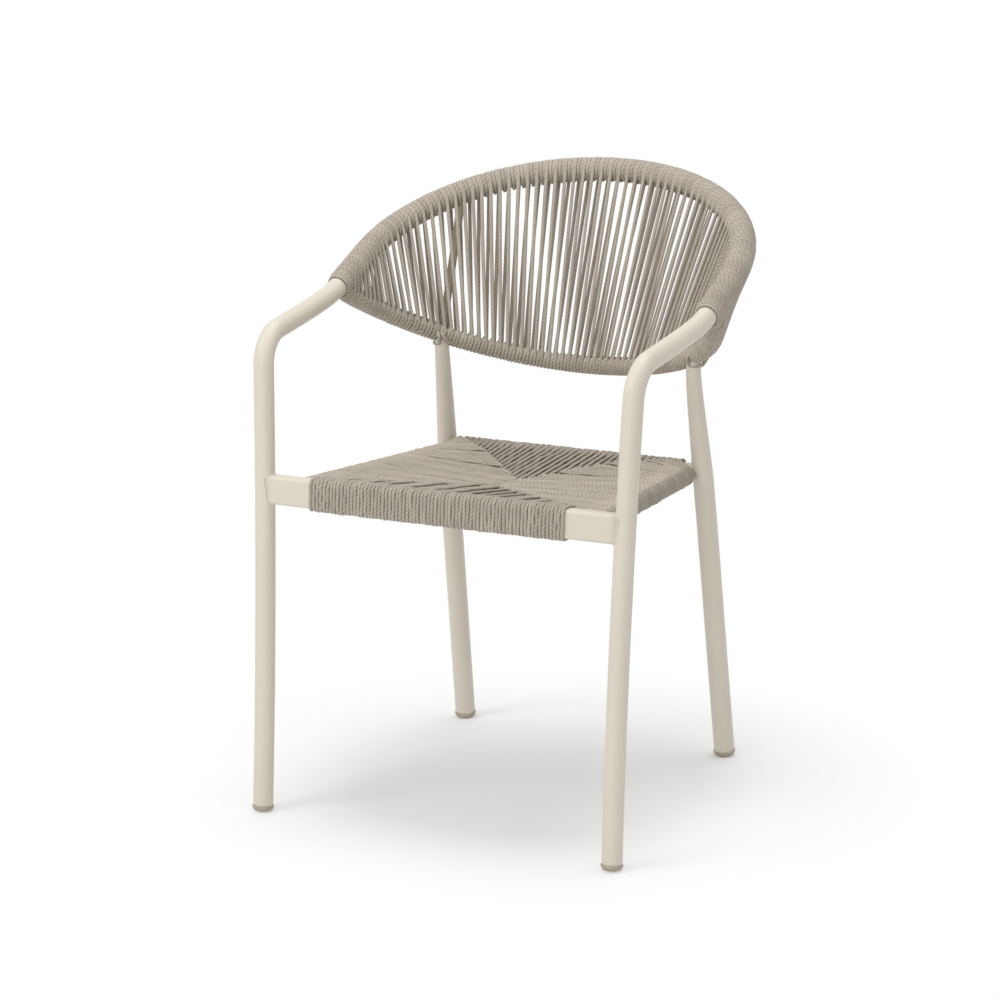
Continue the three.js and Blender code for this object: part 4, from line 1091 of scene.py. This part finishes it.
def seat_cord(
    corners, radius, seam, place, sink,
    half_width=SEAT_HALF_WIDTH, sink_run=None, shade=SEAT_SHADE, edged=False,
):
    """One cord of a panel. place turns (outwards, up, sideways) to a point of the model.

    It sinks towards the seam over its sink_run, or over its whole length. If edged, its tone
    gets a painted highlight over the top of the rail and painted shade on its outer side."""
    seam_u, top, bottom = seam
    top -= SEAT_HALF_HEIGHT
    bottom += SEAT_HALF_HEIGHT
    seam_u += WOBBLE.normal(0, SEAM_UNEVEN)
    line = loop_outline(corners, radius + WOBBLE.normal(0, SEAT_UNEVEN), seam_u, top, bottom)
    middle = (top + bottom) / 2
    core = np.stack([np.clip(line[:, 0], seam_u + SEAM_R, corners[0][0]), np.full(len(line), middle)], 1)
    away = (corners[0][0] - line[:, 0]) / (sink_run or corners[0][0] - seam_u)
    upper = np.clip((line[:, 1] - middle) / (top - middle), 0, 1)
    sunk = sink * np.clip(away, 0, 1) * upper
    line[:, 1] -= sunk
    line += unit(line - core) * drift(len(line), SEAT_UNEVEN)[:, None]
    sideways = drift(len(line), SEAT_DRIFT)
    points = np.array([place(u, w, s) for (u, w), s in zip(line, sideways)])
    inside = np.array([place(u, w, s) for (u, w), s in zip(core, sideways)])
    # painted shade: shade darkens the whole cord, more so in the rear panel
    # painted shade: where a cord sinks between its neighbours it darkens by its depth
    tone = 1 + WOBBLE.normal(0, TONE_SPREAD) - SUNK_SHADE * sunk - shade
    # painted highlight and painted shade round the side rails
    if edged:
        tone += edge_tone(line, corners[0])
    return sweep(points, points - inside, half_width * MM, SEAT_HALF_HEIGHT * MM, closed=True, tone=tone)


def cords_along(start, end, pitch):
    """Places of cords that fill a width, each slightly off its even place."""
    count = round((end - start) / pitch)
    places = start + (np.arange(count) + 0.5) * (end - start) / count
    return places + WOBBLE.normal(0, PLACE_UNEVEN, count)


def sunk_cords(count, spacing, depth, together):
    """How deep each cord of a row sinks at the seam: now and then a few do, and a gap shows."""
    sinks = np.zeros(count)
    k = 0
    while k < count:
        sinks[k:k + together] = WOBBLE.uniform(*depth)
        k += WOBBLE.integers(*spacing)
    return sinks


def seam_at(share, places, ends, power=1.0):
    """Place, top and underside of a seam at a share of its way from the corner to the middle."""
    top, bottom = zip(*ends)
    return (
        np.interp(share, [0, 1], places),
        np.interp(share**power, [0, 1], top),
        np.interp(share, [0, 1], bottom),
    )


def bar_corners():
    """The centres of the front bar's rounded edges in (outwards, up), from its top rear one."""
    half = BAR_DEPTH / 2 - BAR_EDGE_R
    tall = BAR_HEIGHT / 2 - BAR_EDGE_R
    ways = ((-1, 1), (1, 1), (1, -1), (-1, -1))
    return [np.array([-BAR_Y + u * half, BAR_Z + w * tall]) for u, w in ways]


def seat_front():
    shells = []
    reach = BAR_EDGE_R + SEAT_HALF_HEIGHT
    ends = (CORNER_FRONT, APEX_FRONT)
    places = cords_along(*FRONT_COVER, SEAT_PITCH)
    sinks = sunk_cords(len(places), FRONT_SINK_SPACING, FRONT_SINK, FRONT_SINK_TOGETHER)
    for x, sink in zip(places, sinks):
        share = max(0, 1 - abs(x) / FRONT_HALF)
        y, top, bottom = seam_at(share, (FRONT_SEAM_Y, APEX_FRONT_Y), ends, FRONT_SAG_POWER)
        seam = (-y, top, bottom)

        def place(u, w, side):
            return at(x + side + FRONT_LEAN * (w - BAR_Z), -u, w)

        sink = min(sink * share**FRONT_SINK_POWER, SINK_LIMIT * (top - bottom))
        shells.append(seat_cord(bar_corners(), reach, seam, place, sink, sink_run=FRONT_SINK_RUN))
    return shells


def seat_rear():
    shells = []
    centre = np.array([REAR_RAIL_Y, REAR_RAIL_Z])
    for k, x in enumerate(cords_along(-REAR_COVER_HALF, REAR_COVER_HALF, REAR_PITCH)):
        share = max(0, 1 - abs(x) / REAR_HALF)
        seam = seam_at(share, (REAR_SEAM_Y, APEX_REAR_Y), (CORNER_REAR, APEX_REAR))
        sunk = k % 2

        def place(u, w, side):
            return at(x + side, u, w)

        radius = SEAT_RAIL_R - SEAT_HALF_HEIGHT - REAR_TUCK * sunk
        half_width = SEAT_HALF_WIDTH if sunk else REAR_RIDGE_HALF_WIDTH
        shells.append(seat_cord(
            [centre], radius, seam, place, REAR_SINK * sunk, half_width, REAR_SINK_RUN, REAR_SHADE,
        ))
    return shells


def seat_side():
    """The cords of the right side panel. The left one mirrors them."""
    shells = []
    radius = SEAT_RAIL_R - SEAT_HALF_HEIGHT
    places = cords_along(FRONT_SEAM_Y, REAR_SEAM_Y, SEAT_PITCH)
    sinks = sunk_cords(len(places), SIDE_SINK_SPACING, SIDE_SINK, 1)
    for y, sink in zip(places, sinks):
        if y < APEX_FRONT_Y:
            share = (y - FRONT_SEAM_Y) / (APEX_FRONT_Y - FRONT_SEAM_Y)
            x, top, bottom = seam_at(share, (FRONT_HALF, 0), (CORNER_FRONT, APEX_FRONT), FRONT_SAG_POWER)
        elif y < APEX_REAR_Y:
            share = (y - APEX_FRONT_Y) / (APEX_REAR_Y - APEX_FRONT_Y)
            x, top, bottom = seam_at(share, (0, 0), (APEX_FRONT, APEX_REAR))
        else:
            share = (REAR_SEAM_Y - y) / (REAR_SEAM_Y - APEX_REAR_Y)
            x, _, bottom = seam_at(share, (REAR_HALF, 0), (CORNER_REAR_SIDE, APEX_REAR))
            top = np.interp(share, [SIDE_CREST_SHARE, 1], [CORNER_REAR_SIDE[0], APEX_REAR[0]])
        along = (y - SIDE_FRONT[1]) / (SIDE_REAR[1] - SIDE_FRONT[1])
        centre = np.array([SIDE_FRONT[k] + along * (SIDE_REAR[k] - SIDE_FRONT[k]) for k in (0, 2)])

        def place(u, w, side):
            return at(u, y + side, w)

        shells.append(seat_cord([centre], radius, (x, top, bottom), place, sink, edged=True))
    return shells


make("seat_ropes_front", seat_front(), rope, "rope", "seat_weave_front")
make("seat_ropes_rear", seat_rear(), rope, "rope", "seat_weave_rear")
side_shells = [both(shell) for shell in seat_side()]
make("seat_ropes_right", [pair[0] for pair in side_shells], rope, "rope", "seat_weave_right")
make("seat_ropes_left", [pair[1] for pair in side_shells], rope, "rope", "seat_weave_left")

# The spigots inside the arm joints stay as they are and get their own metal
for side in ("left", "right"):
    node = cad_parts[f"arm_joint_sleeve_{side}"]
    node.data.materials.clear()
    node.data.materials.append(alloy)
